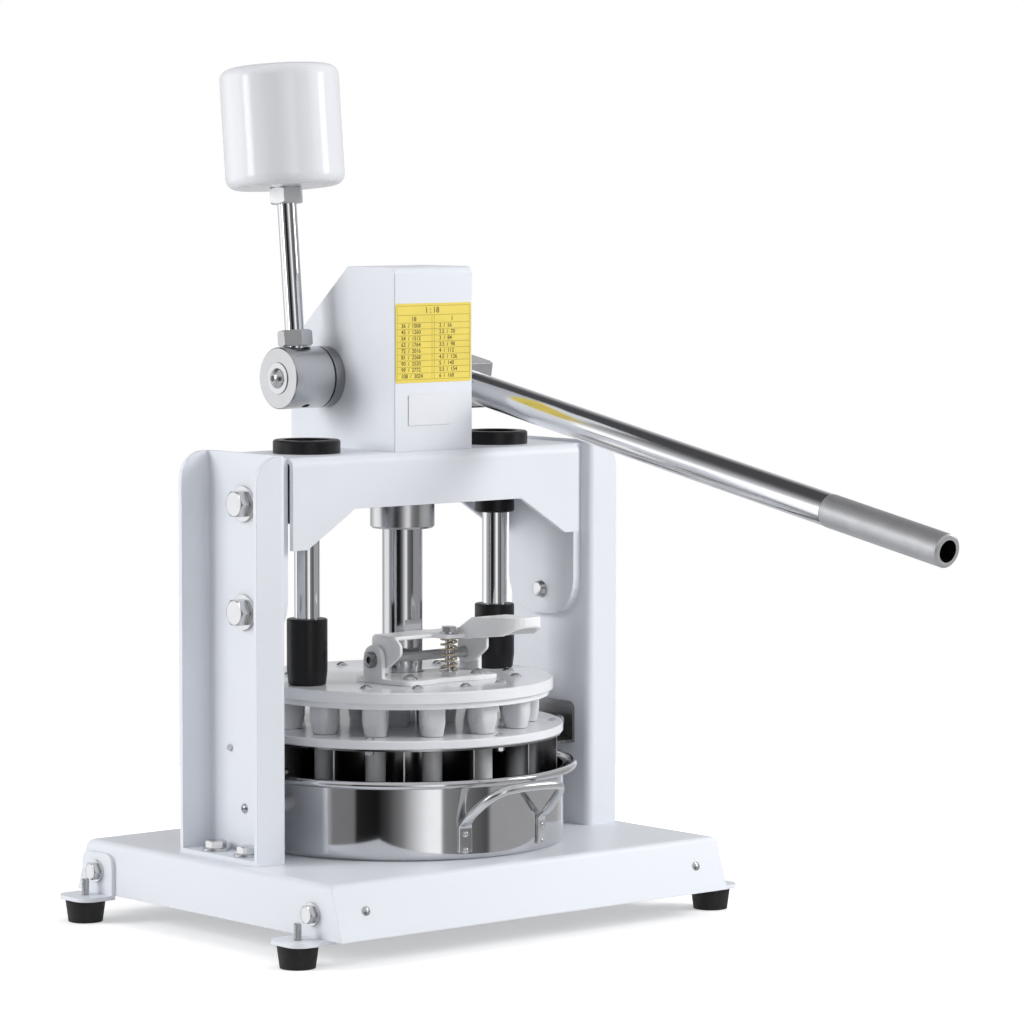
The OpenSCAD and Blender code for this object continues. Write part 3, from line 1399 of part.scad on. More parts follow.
// Latch spring: one unbroken helix of wire with straight ends
spring_low_z = bracket_top_z + spring_nut_h + spring_washer_t + soft_gap;
spring_high_z = latch_low_z - soft_gap;
spring_rings = 8;
spring_sides = 6;
spring_run = spring_high_z - spring_low_z - 2 * spring_wire;
spring_steps = spring_turns * spring_rings;
spring_coil = [for (i = [0:spring_steps]) let (a = 360 * i / spring_rings)
  [spring_d / 2 * cos(a), spring_d / 2 * sin(a), spring_low_z + spring_wire + spring_run * i / spring_steps]];
spring_path = concat(
  [[spring_d / 2, 0, spring_low_z]], spring_coil, [[spring_d / 2, 0, spring_high_z]]);
spring_pitch_gap = min([for (i = [0:len(spring_coil) - 1], j = [i + spring_rings - 2:1:len(spring_coil) - 1])
  norm(spring_coil[i] - spring_coil[j])]) - spring_wire;
function path_way(i) = let (n = len(spring_path) - 1)
  i == 0 ? [0, 0, 1] : i == n ? [0, 0, 1] : unit(spring_path[i + 1] - spring_path[i - 1]);
module latch_spring() {
  n = len(spring_path);
  m = spring_sides;
  points = [for (i = [0:n - 1]) let (
      at = spring_path[i], way = path_way(i), out = unit([at.x, at.y, 0]),
      side = unit(cross(way, out)), up = cross(side, way))
    for (k = [0:m - 1]) at + spring_wire / 2 * (cos(360 * k / m) * up + sin(360 * k / m) * side)];
  walls = [for (i = [0:n - 2], k = [0:m - 1]) let (a = i * m + k, b = i * m + (k + 1) % m)
    each [[a, a + m, b], [b, a + m, b + m]]];
  low_cap = [for (k = [1:m - 2]) [0, k, k + 1]];
  high_cap = [for (k = [1:m - 2]) [(n - 1) * m, (n - 1) * m + k + 1, (n - 1) * m + k]];
  echo(least_gap_between_spring_turns = spring_pitch_gap);
  color("goldenrod") translate([spring_x, -spring_y, 0]) polyhedron(points, concat(low_cap, walls, high_cap));
}

// Latch lever: a plate with two cheeks on the pin, a pawl at its rear and a lipped tongue at its front
module latch_lever() {
  t = latch_lever_t;
  plate_x = cheek_out_x;
  rear_y = -(ram_d / 2 + 2.5 * free_gap);
  pawl_y = -(ram_d / 2 - pawl_depth);
  slot_w = spring_bolt_d + 2 * free_gap;
  slot_l = spring_bolt_d + 9 * free_gap;
  nose_y = -spring_y - slot_l / 2 - t;
  front_y = -latch_plate_front;
  left_x = tongue_x - tongue_w / 2;
  right_x = tongue_x + tongue_w / 2;
  nose_x = spring_x - slot_w - t;
  bend_y = front_y - tongue_ramp;
  bend_z = latch_top_z + tongue_rise;
  tip_z = bend_z + 0.055 * (tongue_tip + bend_y);
  cheek_r = latch_ear_r * 0.8;
  side = [[front_y + t, latch_low_z - t], [front_y + t, latch_top_z], [front_y, latch_top_z],
    [bend_y, bend_z], [-tongue_tip, tip_z], [-tongue_tip, tip_z - tongue_skirt / 2],
    [-tongue_tip + tongue_skirt, tip_z - tongue_skirt], [bend_y - tongue_ramp / 2, bend_z - tongue_skirt]];
  cheek = [[rear_y, latch_low_z + t / 2], [front_y, latch_low_z + t / 2], [front_y - 2 * t, latch_low_z - t],
    [front_y - 2 * t, latch_pin_z + cheek_r / 2], [-latch_y - 1.4 * cheek_r, latch_pin_z - 0.6 * cheek_r],
    [-latch_y, latch_pin_z - 0.9 * cheek_r], [-latch_y + cheek_r, latch_pin_z]];
  color("white") difference() {
    union() {
      translate([0, 0, latch_low_z]) linear_extrude(t) polygon(rounded(
        [[-plate_x, rear_y], [-plate_x, front_y], [nose_x, front_y], [nose_x, nose_y],
         [left_x + t / 2, nose_y], [left_x + t / 2, front_y], [plate_x, front_y], [plate_x, rear_y],
         [pawl_x, rear_y], [pawl_x, pawl_y], [-pawl_x, pawl_y], [-pawl_x, rear_y]],
        [4, 4, 0, 6, 0, 0, 3, 4, 0, 1, 1, 0]));
      difference() {
        intersection() {
          translate([tongue_x, 0, 0]) along_x(tongue_w) polygon(side);
          tongue_plan(left_x, right_x, 0);
        }
        intersection() {
          translate([tongue_x, 0, -t]) along_x(tongue_w) polygon(side);
          tongue_plan(left_x, right_x, t);
        }
      }
      for (s = [-1, 1]) translate([s * (plate_x - t / 2), 0, 0]) along_x(t) union() {
        polygon(rounded(cheek, [0, 0, 4, 6, 6, 6, 0]));
        translate([-latch_y, latch_pin_z]) circle(r = cheek_r);
      }
    }
    translate([0, -latch_y, latch_pin_z]) rotate([0, 90, 0])
      cylinder(h = 3 * plate_x, d = latch_pin_d + 2 * run_gap, center = true);
    translate([spring_x, -spring_y, latch_low_z - cut]) linear_extrude(t + 2 * cut) {
      square([slot_w, slot_l - slot_w], center = true);
      for (s = [-1, 1]) translate([0, s * (slot_l - slot_w) / 2]) circle(d = slot_w);
    }
  }
}
module tongue_plan(left_x, right_x, inset) {
  r = tongue_w * 0.45 - inset;
  linear_extrude(2 * latch_top_z) polygon(rounded(
    [[left_x + inset, 0], [right_x - inset, 0], [right_x - inset, -tongue_tip + inset],
     [left_x + inset, -tongue_tip + inset]], [0, 0, r, r]));
}

base_tray();
front_rivets();
front_foot_brackets();
rear_foot_brackets();
foot_bracket_bolts();
rubber_feet();
foot_studs();
left_column();
right_column();
column_base_bolts();
head_bridge();
head_bolts();
gear_housing();
ram_guide_bush();
left_guide_bush();
right_guide_bush();
left_shaft_bearing();
right_shaft_bearing();
left_pan_clamp();
right_pan_clamp();
pan_clamp_screws();
pan_side_guides();
dough_pan();
pan_handle();
pan_handle_rivets();
lever_shaft();
pinion();
pinion_key();
counterweight_hub();
hub_end_washer();
hub_end_screw();
counterweight_rod();
rod_lock_nuts();
counterweight();
handle_block();
handle_tube();
handle_grip();
hub_set_screws();
ram();
knife_carrier();
knife_plate();
radial_knives();
ring_knife();
cross_knives();
knife_plate_bolts();
ram_screw();
press_disc();
press_backing();
press_posts();
press_pads();
disc_screws();
pad_screws();
guide_rods();
guide_sleeves();
latch_bracket();
latch_bracket_bolts();
latch_pin();
latch_spring_bolt();
latch_spring();
latch_lever();
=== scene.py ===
import json
from functools import partial
from math import asin, cos, pi, radians, sin, tan

import bmesh
import bpy
from mathutils import Matrix, Vector


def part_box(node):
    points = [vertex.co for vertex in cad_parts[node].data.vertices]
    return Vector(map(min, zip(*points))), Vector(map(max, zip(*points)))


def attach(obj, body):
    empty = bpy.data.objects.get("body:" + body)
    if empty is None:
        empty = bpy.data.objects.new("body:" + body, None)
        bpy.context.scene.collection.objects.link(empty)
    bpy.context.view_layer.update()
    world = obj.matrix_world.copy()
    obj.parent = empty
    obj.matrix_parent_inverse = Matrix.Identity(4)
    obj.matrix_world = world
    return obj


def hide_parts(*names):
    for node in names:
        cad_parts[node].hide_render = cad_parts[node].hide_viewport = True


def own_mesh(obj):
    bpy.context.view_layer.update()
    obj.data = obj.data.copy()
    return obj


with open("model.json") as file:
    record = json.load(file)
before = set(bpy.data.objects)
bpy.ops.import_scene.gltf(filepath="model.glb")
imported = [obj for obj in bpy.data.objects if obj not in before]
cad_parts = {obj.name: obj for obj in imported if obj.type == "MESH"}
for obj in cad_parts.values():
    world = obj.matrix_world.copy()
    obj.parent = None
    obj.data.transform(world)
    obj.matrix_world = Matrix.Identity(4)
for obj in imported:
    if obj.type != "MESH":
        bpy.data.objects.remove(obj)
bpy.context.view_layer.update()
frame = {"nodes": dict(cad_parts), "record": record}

MM = 0.001
NODES = frame["nodes"]
SIDES = (-1, 1)

# Axis of the lever shaft and of the handle, in metres and radians
SHAFT_Y, SHAFT_Z = 0.059, 0.537
HANDLE_X, HANDLE_LEAN = 0.088, -0.183

# Node materials

# Most of a noise texture's values lie between these two
NOISE_LOW, NOISE_HIGH = 0.3, 0.7


def add_node(tree, kind, inputs=(), **props):
    """A shader node with its properties set and its inputs linked or filled."""
    made = tree.nodes.new(kind)
    for key, value in props.items():
        setattr(made, key, value)
    for key, value in dict(inputs).items():
        if isinstance(value, bpy.types.NodeSocket):
            tree.links.new(value, made.inputs[key])
        else:
            made.inputs[key].default_value = value
    return made


class Look:
    """A principled material whose colour, roughness and relief come from object coordinates in metres."""

    def __init__(self, name, color, rough, metal=0.0, **sockets):
        self.mat = bpy.data.materials.new(name)
        self.mat.use_nodes = True
        self.tree = self.mat.node_tree
        self.shader = self.tree.nodes["Principled BSDF"]
        self.color = color
        self.shader.inputs["Base Color"].default_value = (*color, 1)
        self.shader.inputs["Roughness"].default_value = rough
        self.shader.inputs["Metallic"].default_value = metal
        for key, value in sockets.items():
            socket = key.replace("_", " ").title().replace("Ior", "IOR")
            self.shader.inputs[socket].default_value = value
        self.mat.diffuse_color = (*color, 1)
        self.coords = self.node("ShaderNodeTexCoord").outputs["Object"]
        self.height = None

    def node(self, kind, inputs=(), **props):
        return add_node(self.tree, kind, inputs, **props)

    def math(self, operation, a, b=0.0):
        return self.node("ShaderNodeMath", {0: a, 1: b}, operation=operation).outputs[0]

    def mapped(self, scale=(1, 1, 1), move=(0, 0, 0)):
        inputs = {"Vector": self.coords, "Location": move, "Scale": scale}
        return self.node("ShaderNodeMapping", inputs).outputs[0]

    def noise(self, scale, stretch=(1, 1, 1), detail=3.0):
        inputs = {"Vector": self.mapped(stretch), "Scale": scale, "Detail": detail}
        return self.node("ShaderNodeTexNoise", inputs).outputs[0]

    def tint(self, fac, dark):
        """The base colour goes from dark times itself to itself over a noise's usual span."""
        ramp = self.node("ShaderNodeValToRGB", {0: fac})
        for stop, place, share in zip(ramp.color_ramp.elements, (NOISE_LOW, NOISE_HIGH), (dark, 1.0)):
            stop.position = place
            stop.color = (*[c * share for c in self.color], 1)
        self.tree.links.new(ramp.outputs[0], self.shader.inputs["Base Color"])
        return self

    def gloss(self, fac, low, high):
        """The roughness goes from low to high over a noise's usual span."""
        inputs = {"Value": fac, "From Min": NOISE_LOW, "From Max": NOISE_HIGH, "To Min": low, "To Max": high}
        rough = self.node("ShaderNodeMapRange", inputs).outputs[0]
        self.tree.links.new(rough, self.shader.inputs["Roughness"])
        return self

    def relief(self, fac, depth):
        """Adds a height in metres to the bump."""
        part = self.math("MULTIPLY", fac, depth / MM)
        self.height = part if self.height is None else self.math("ADD", self.height, part)
        return self

    def done(self, edge=0.0):
        """Closes the material, with edges softened over the given radius in metres."""
        normal = None
        if edge:
            normal = self.node("ShaderNodeBevel", {"Radius": edge}, samples=4).outputs[0]
        if self.height is not None:
            inputs = {"Height": self.height, "Distance": MM, "Strength": 1.0}
            if normal is not None:
                inputs["Normal"] = normal
            normal = self.node("ShaderNodeBump", inputs).outputs[0]
        if normal is not None:
            self.tree.links.new(normal, self.shader.inputs["Normal"])
        return self.mat


def coat(name, color, rough, peel, **sockets):
    """Sprayed coat: faint clouds, uneven gloss, and orange peel of a given height in metres."""
    cloud_scale, gloss_scale, peel_scale, edge = 9.0, 55.0, 650.0, 0.0009
    look = Look(name, color, rough, **sockets)
    look.tint(look.noise(cloud_scale), 0.985)
    look.gloss(look.noise(gloss_scale), rough - 0.02, rough + 0.03)
    return look.relief(look.noise(peel_scale, detail=1.0), peel).done(edge)


def metal(name, color, rough, spread, grain=(1, 1, 1), scale=400.0, dark=0.9):
    """Bare metal: clouds down to a dark share of its colour, and gloss that follows a grain."""
    cloud_scale, edge = 60.0, 0.0004
    look = Look(name, color, rough, 1.0)
    look.tint(look.noise(cloud_scale), dark)
    return look.gloss(look.noise(scale, grain), rough, rough + spread).done(edge)


def plastic(name, color, rough, scale, depth, **sockets):
    """Moulded or printed surface with a grain of a given depth in metres."""
    cloud_scale, gloss_scale, edge = 40.0, 120.0, 0.0005
    look = Look(name, color, rough, **sockets)
    look.tint(look.noise(cloud_scale), 0.92)
    look.gloss(look.noise(gloss_scale), rough - 0.06, rough + 0.08)
    return look.relief(look.noise(scale), depth).done(edge)


def turned(name, color, rough, centre, pitch, depth):
    """Fine rings about an axis along X, on the face and round the side."""
    cloud_scale, gloss_scale, edge = 60.0, 120.0, 0.0005
    look = Look(name, color, rough, 1.0)
    place = look.mapped(move=tuple(-c for c in centre))
    wave = {"Vector": place, "Scale": 2 * pi / (20 * pitch), "Distortion": 0.6, "Detail": 1.0}
    rings = look.node("ShaderNodeTexWave", wave, wave_type="RINGS", rings_direction="X")
    bands = look.node("ShaderNodeTexWave", wave, wave_type="BANDS", bands_direction="X")
    for made in (rings, bands):
        look.relief(made.outputs["Fac"], depth)
    look.tint(look.noise(cloud_scale, (6, 1, 1)), 0.95)
    return look.gloss(look.noise(gloss_scale, (8, 1, 1)), rough, rough + 0.05).done(edge)


def knurled(name, color, rough, centre, lean, count, pitch, depth):
    """Two crossing sets of fine ridges round an axis that leans from -Y by lean radians."""
    cloud_scale, gloss_scale = 70.0, 240.0
    look = Look(name, color, rough, 1.0)
    shift = look.mapped(move=tuple(-c for c in centre))
    place = look.node("ShaderNodeMapping", {"Vector": shift, "Rotation": (-lean, 0, 0)}).outputs[0]
    axes = look.node("ShaderNodeSeparateXYZ", {0: place}).outputs
    around = look.math("MULTIPLY", look.math("ARCTAN2", axes[2], axes[0]), count)
    along = look.math("MULTIPLY", axes[1], 2 * pi / pitch)
    ridges = [look.math("SINE", look.math(way, around, along)) for way in ("ADD", "SUBTRACT")]
    look.relief(look.math("MAXIMUM", *ridges), depth)
    look.tint(look.noise(cloud_scale), 0.9)
    return look.gloss(look.noise(gloss_scale), rough, rough + 0.08).done()


WHITE = coat("white_powder_coat", (0.76, 0.785, 0.835), 0.33, 0.000006)
GLOSS = coat("gloss_white_enamel", (0.79, 0.805, 0.84), 0.16, 0.000002, coat_weight=0.4, coat_roughness=0.12)
SATIN = coat("satin_white_coat", (0.79, 0.805, 0.835), 0.16, 0.000002)
# White lacquer of the latch, set whiter than the other whites as painted light for the shade the head casts on it
LIT_LACQUER = coat("white_lacquer_painted_light", (0.87, 0.875, 0.885), 0.3, 0.000002)
ZINC = metal("zinc_plate", (0.66, 0.665, 0.675), 0.2, 0.04, scale=90.0, dark=0.96)
NUT = metal("satin_zinc", (0.72, 0.725, 0.735), 0.42, 0.05, scale=90.0, dark=0.96)
STEEL = metal("oiled_steel", (0.27, 0.275, 0.28), 0.24, 0.07, (1, 1, 6), 200.0, 0.95)
PIN = metal("pin_steel", (0.6, 0.605, 0.61), 0.3, 0.06, scale=200.0)
RACE = metal("bearing_steel", (0.40, 0.405, 0.415), 0.2, 0.02, scale=90.0, dark=0.97)
BRIGHT = metal("bright_steel", (0.62, 0.625, 0.64), 0.24, 0.02, scale=60.0, dark=0.97)
CHROME = metal("hard_chrome", (0.74, 0.745, 0.76), 0.08, 0.01, scale=160.0, dark=0.98)
TUBE = metal("polished_tube", (0.78, 0.785, 0.80), 0.15, 0.01, scale=160.0, dark=0.98)
RAM = metal("ground_chrome", (0.56, 0.565, 0.58), 0.1, 0.01, scale=160.0, dark=0.98)
PAN = metal("mirror_stainless", (0.66, 0.665, 0.68), 0.06, 0.02, (1, 1, 12), 160.0, 0.97)
ROD = metal("satin_stainless", (0.74, 0.745, 0.755), 0.2, 0.03, scale=160.0, dark=0.97)
BLADE = metal("blade_stainless", (0.36, 0.36, 0.365), 0.14, 0.05, (1, 1, 0.1), 300.0, 0.95)
CLAMP = metal("dark_stainless", (0.32, 0.32, 0.325), 0.2, 0.06, (1, 8, 1), 200.0, 0.95)
GOLD = metal("gold_zinc", (0.56, 0.48, 0.36), 0.16, 0.05, dark=0.95)
DRUM = turned("turned_aluminium", (0.55, 0.555, 0.565), 0.22, (0, SHAFT_Y, SHAFT_Z), 0.0007, 0.0000015)
GRIP = knurled("knurled_grip", (0.66, 0.665, 0.68), 0.38, (HANDLE_X, SHAFT_Y, SHAFT_Z), HANDLE_LEAN,
               60, 0.0016, 0.00006)
NYLON_BLACK = plastic("black_nylon", (0.007, 0.007, 0.008), 0.34, 900.0, 0.000004,
                      specular_ior_level=0.3)
NYLON_WHITE = plastic("natural_nylon", (0.69, 0.70, 0.72), 0.32, 500.0, 0.000006,
                      subsurface_weight=0.35, subsurface_radius=(0.012, 0.012, 0.012))
RUBBER = plastic("black_rubber", (0.012, 0.012, 0.013), 0.62, 800.0, 0.00003)
YELLOW = plastic("yellow_print", (0.84, 0.68, 0.12), 0.4, 500.0, 0.000003)
INK = plastic("brown_ink", (0.11, 0.06, 0.015), 0.5, 500.0, 0.000003)
RULE = plastic("gold_rule", (0.42, 0.30, 0.04), 0.5, 500.0, 0.000003)
# Dark grey that stands for the shade inside a seam: painted shadow
SEAM_SHADOW = plastic("seam_shadow", (0.16, 0.17, 0.19), 0.6, 500.0, 0.000003)

BY_SLOT = {
    "white_coat": WHITE, "gloss_white": GLOSS, "satin_white": SATIN, "zinc_hardware": ZINC,
    "steel": STEEL, "stainless_sheet": PAN, "hard_chrome": CHROME, "turned_aluminium": DRUM,
    "satin_grip": GRIP, "black_nylon": NYLON_BLACK, "white_nylon": NYLON_WHITE,
    "black_rubber": RUBBER, "gold_zinc": GOLD}
BY_NODE = {
    "left_pan_clamp": CLAMP, "right_pan_clamp": CLAMP,
    "radial_knives": BLADE, "ring_knife": BLADE, "cross_knives": BLADE, "knife_plate": BLADE,
    "ram_guide_bush": BRIGHT, "handle_block": BRIGHT, "hub_end_washer": BRIGHT,
    "left_shaft_bearing": RACE, "right_shaft_bearing": RACE,
    "handle_tube": TUBE, "ram": RAM, "rod_lock_nuts": NUT}
for part in frame["record"]["subparts"]:
    obj = NODES[part["node"]]
    obj.data.materials.clear()
    obj.data.materials.append(BY_NODE.get(part["node"], BY_SLOT[part["material_slot"]]))

# Mesh pieces, drawn in millimetres


def ring(radius, z, count=48):
    """Points round the Z axis. Radius and z are numbers or functions of the angle."""
    out = []
    for i in range(count):
        a = 2 * pi * i / count
        r = radius(a) if callable(radius) else radius
        out.append((r * cos(a), r * sin(a), z(a) if callable(z) else z))
    return out


class Shape:
    """Closed lofts gathered into one mesh."""

    def __init__(self):
        self.bm = bmesh.new()

    def loft(self, rings, place=Matrix()):
        """Skins a row of rings with the same number of points, and caps both ends."""
        rows = [[self.bm.verts.new((place @ Vector(p)) * MM) for p in points] for points in rings]
        count = len(rows[0])
        for low, high in zip(rows, rows[1:]):
            for i in range(count):
                j = (i + 1) % count
                self.bm.faces.new((low[i], low[j], high[j], high[i]))
        self.bm.faces.new(rows[0][::-1])
        self.bm.faces.new(rows[-1])

    def turn(self, profile, place=Matrix()):
        """Lathe of (radius, z) points round Z."""
        self.loft([ring(r, z) for r, z in profile], place)

    def hexagon(self, across, height, place=Matrix(), base=0.0):
        """Bolt head or nut with chamfered corners and a dished top, standing on z = base."""
        flat, top = across / 2, base + height
        seat_r, rim_r, dish_r, middle_r, dish = 0.96 * flat, 0.95 * flat, 0.9 * flat, 0.2, 0.12

        def corner(a):
            return flat / cos((a + pi / 6) % (pi / 3) - pi / 6)

        def bevel(a):
            return (corner(a) - seat_r) * tan(radians(30))

        self.loft([ring(seat_r, base), ring(corner, lambda a: base + 0.5 * bevel(a)),
                   ring(corner, lambda a: top - bevel(a)), ring(rim_r, top),
                   ring(dish_r, top - dish), ring(middle_r, top - dish)], place)

    def thread(self, d, low, high, pitch, place=Matrix()):
        """Screw thread with chamfered ends."""
        depth, rows_per_turn, count = 0.61 * pitch, 6, 24
        end_r = d / 2 - 1.2 * depth
        steps = int((high - low) / pitch * rows_per_turn)

        def groove(z, a):
            turn = (z / pitch - a / (2 * pi)) % 1.0
            return depth * abs(2 * turn - 1)

        rows = [ring(end_r, low, count)]
        for i in range(1, steps):
            z = low + (high - low) * i / steps
            end = max(0.0, depth - min(z - low, high - z))
            rows.append(ring(lambda a, z=z, end=end: d / 2 - max(groove(z, a), end), z, count))
        rows.append(ring(end_r, high, count))
        self.loft(rows, place)

    def plate(self, corners, radius, depth, place=Matrix()):
        """Flat plate in the XY plane from two opposite corners, rounded, from z = 0 to depth."""
        corner_steps, edge_share, edge_most, edge_slant = 6, 0.3, 0.2, 0.3
        (x0, y0), (x1, y1) = corners
        outline = []
        for cx, cy, start in ((x1 - radius, y1 - radius, 0), (x0 + radius, y1 - radius, 1),
                              (x0 + radius, y0 + radius, 2), (x1 - radius, y0 + radius, 3)):
            for i in range(corner_steps + 1):
                a = pi / 2 * (start + i / corner_steps)
                outline.append((cx + radius * cos(a), cy + radius * sin(a)))
        lift = min(edge_share * depth, edge_most)

        def inward(value, middle):
            return value + edge_slant * lift * ((middle > value) - (middle < value))

        inner = [(inward(x, (x0 + x1) / 2), inward(y, (y0 + y1) / 2)) for x, y in outline]
        self.loft([[(x, y, 0) for x, y in outline], [(x, y, depth - lift) for x, y in outline],
                   [(x, y, depth) for x, y in inner]], place)

    def sweep(self, path, radius):
        """Round wire along a path, with rings square to it."""
        rows, up, count = [], Vector((0, 0, 1)), 14
        turns = [2 * pi * k / count for k in range(count)]
        for i, p in enumerate(path):
            ahead = (Vector(path[min(i + 1, len(path) - 1)]) - Vector(path[max(i - 1, 0)])).normalized()
            side = ahead.cross(up).normalized()
            over = side.cross(ahead)
            rows.append([Vector(p) + radius * (cos(a) * side + sin(a) * over) for a in turns])
        self.loft(rows)

    def piece(self, name, mat, body, slot=None, stands_for=(), sharp=32):
        """Closes the mesh as a piece, with edges over sharp degrees left sharp."""
        mesh = bpy.data.meshes.new(name)
        bmesh.ops.recalc_face_normals(self.bm, faces=self.bm.faces)
        self.bm.to_mesh(mesh)
        self.bm.free()
        mesh.shade_smooth()
        mesh.set_sharp_from_angle(angle=radians(sharp))
        return place_piece(bpy.data.objects.new(name, mesh), mat, body, stands_for)


def place_piece(obj, mat, body, stands_for=()):
    """Adds a piece to the scene on its body, and hides the nodes it stands for."""
    bpy.context.scene.collection.objects.link(obj)
    obj.data.materials.append(mat)
    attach(obj, body)
    if stands_for:
        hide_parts(*stands_for)
    return obj


def node_box(node):
    """A node's lowest and highest corners at rest, in millimetres."""
    return [Vector(corner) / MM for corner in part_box(node)]


def at(x, y, z):
    return Matrix.Translation((x, y, z))


def facing(side):
    """Turns +Z to the given side of X."""
    return Matrix.Rotation(side * pi / 2, 4, "Y")


FRONT = Matrix.Rotation(pi / 2, 4, "X")

# Bolts and studs, with sizes as diameter, width across flats, head height and pitch
M16, M12, M10 = (16, 24, 10, 2.0), (12, 18, 7.5, 1.75), (10, 16, 6.4, 1.5)
WASHER_T = 2.5


def bolt(shape, size, length, place):
    """Hexagon bolt with a washer, seated at z = 0, its tip at -length."""
    d, across, head, pitch = size
    rim, low_edge, top_edge = 1.1 * d, 0.2, 0.3
    shape.turn([(d / 2 + 0.1, 0), (rim - low_edge, 0), (rim, low_edge), (rim, WASHER_T - top_edge),
                (rim - top_edge, WASHER_T), (0.3, WASHER_T)], place)
    shape.hexagon(across, head, place, WASHER_T)
    shape.thread(d, -length, WASHER_T - 0.1, pitch, place)


head_bolt_x, head_bolt_z, head_bolt_len = 197, (421, 316), 21
bolts = Shape()
for side in SIDES:
    for z in head_bolt_z:
        bolt(bolts, M16, head_bolt_len, at(side * head_bolt_x, 0, z) @ facing(side))
bolts.piece("head_bolts_detailed", ZINC, "frame", "zinc_hardware", ["head_bolts"])

base_bolt_x, base_bolt_y, base_bolt_seat, base_bolt_len = 213, 25, 83, 21
base_nut_low, base_nut_h = 64, 10
bolts = Shape()
for side in SIDES:
    for y in (-base_bolt_y, base_bolt_y):
        bolt(bolts, M12, base_bolt_len, at(side * base_bolt_x, y, base_bolt_seat))
        bolts.hexagon(M12[1], base_nut_h, at(side * base_bolt_x, y, base_nut_low))
bolts.piece("column_base_bolts_detailed", ZINC, "frame", "zinc_hardware", ["column_base_bolts"])

# Front and rear feet
foot_y, foot_bolt_x = (-168, 174), (245, 249)
foot_bolt_z, foot_bolt_len, foot_nut_low, foot_nut_h = 48.5, 18, -16, 8
bolts = Shape()
for side in SIDES:
    for y, x in zip(foot_y, foot_bolt_x):
        place = at(side * x, y, foot_bolt_z) @ facing(side)
        bolt(bolts, M10, foot_bolt_len, place)
        bolts.hexagon(M10[1], foot_nut_h, place, foot_nut_low)
bolts.piece("foot_bracket_bolts_detailed", ZINC, "frame", "zinc_hardware", ["foot_bracket_bolts"])

stud_x, stud_d, stud_pitch, stud_low, stud_high = 263, 8, 1.25, 8.8, 42
studs = Shape()
for side in SIDES:
    for y in foot_y:
        studs.thread(stud_d, stud_low, stud_high, stud_pitch, at(side * stud_x, y, 0))
studs.piece("foot_studs_threaded", ZINC, "frame", "zinc_hardware", ["foot_studs"])

# Latch pin: a bolt through the bracket's ears, brighter between them
pin_head, cap_r, socket_r, socket_depth, bright_inset = 5, 8, 3.4, 3, 3
low, high = node_box("latch_pin")
lie = at(0, (low.y + high.y) / 2, (low.z + high.z) / 2) @ facing(1)
ear_out = high.x - pin_head
pin = Shape()
pin.thread(M10[0], -ear_out - 0.5, ear_out + 0.5, M10[3], lie)
pin.hexagon(M10[1], pin_head, lie, ear_out)
pin.turn([(cap_r - 0.4, -ear_out), (cap_r, -ear_out - 0.4), (cap_r, low.x + 0.6), (cap_r - 0.6, low.x),
          (socket_r, low.x), (socket_r - 0.4, low.x + socket_depth), (0.2, low.x + socket_depth)], lie)
pin = pin.piece("latch_pin_threaded", STEEL, "press", "steel", ["latch_pin"])
pin.data.materials.append(PIN)
for face in pin.data.polygons:
    face.material_index = abs(face.center.x) < (ear_out - bright_inset) * MM

# Latch spring: closed coils at both ends, six turns in all
spring_r, spring_wire, spring_turns, coil_steps, closed_share = 7.5, 1.1, 6, 288, 0.06
low, high = node_box("latch_spring")
spring_mid = (low + high) / 2
coil = []
for i in range(coil_steps + 1):
    share = i / coil_steps
    rise = min(max((share - closed_share) / (1 - 2 * closed_share), 0.0), 1.0)
    a = 2 * pi * spring_turns * share - pi / 2
    coil.append((spring_mid.x + spring_r * cos(a), spring_mid.y + spring_r * sin(a),
                 low.z + spring_wire + (high.z - low.z - 2 * spring_wire) * rise))
spring = Shape()
spring.sweep(coil, spring_wire)
wire = spring.piece("latch_spring_coil", GOLD, "press", "gold_zinc", ["latch_spring"], 60)
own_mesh(wire)

# Nylon posts: broad rounded heads that taper to round stems


def squarish(half_x, half_y, power, z, count=48):
    """Points of a rounded oblong: a power of 1 is an ellipse, and a lower one is squarer."""
    def along(share, half):
        return half * abs(share) ** power * (1 if share > 0 else -1)

    turns = [2 * pi * (i + 0.5) / count for i in range(count)]
    return [(along(cos(a), half_x), along(sin(a), half_y), z) for a in turns]


def ease(share):
    """Smooth step from 0 to 1."""
    share = min(max(share, 0.0), 1.0)
    return share * share * (3 - 2 * share)


post_top = node_box("press_backing")[0].z
post_low = node_box("press_pads")[1].z
carrier_top = node_box("knife_carrier")[1].z
stem_r, stem_gap = 10, 0.5


def post(shape, radius, turn, head_x, head_y):
    """One post at a radius and a turn from the front, with its head's half sizes."""
    steps, taper, taper_from, taper_over, head_power = 14, 0.8, 0.45, 0.75, 0.52
    head_low = carrier_top + stem_gap
    rows = []
    for i in range(steps + 1):
        share = i / steps
        slim = taper * ease((share - taper_from) / taper_over)
        rows.append(squarish(head_x + (stem_r - head_x) * slim, head_y + (stem_r - head_y) * slim,
                             head_power + (1 - head_power) * slim, post_top + (head_low - post_top) * share))
    rows += [squarish(stem_r, stem_r, 1.0, z) for z in (head_low, post_low)]
    shape.loft(rows, Matrix.Rotation(turn - pi / 2, 4, "Z") @ at(radius, 0, 0))


CELLS_ROUND, CELLS_INNER = 14, 4
outer_post_r, inner_post_r = 123, 42
posts = Shape()
for i in range(CELLS_ROUND):
    post(posts, outer_post_r, 2 * pi * i / CELLS_ROUND, 13, 12)
for i in range(CELLS_INNER):
    post(posts, inner_post_r, 2 * pi * (i + 0.5) / CELLS_INNER, 12, 12)
posts.piece("press_posts_rounded", NYLON_WHITE, "press", "white_nylon", ["press_posts"], 50)

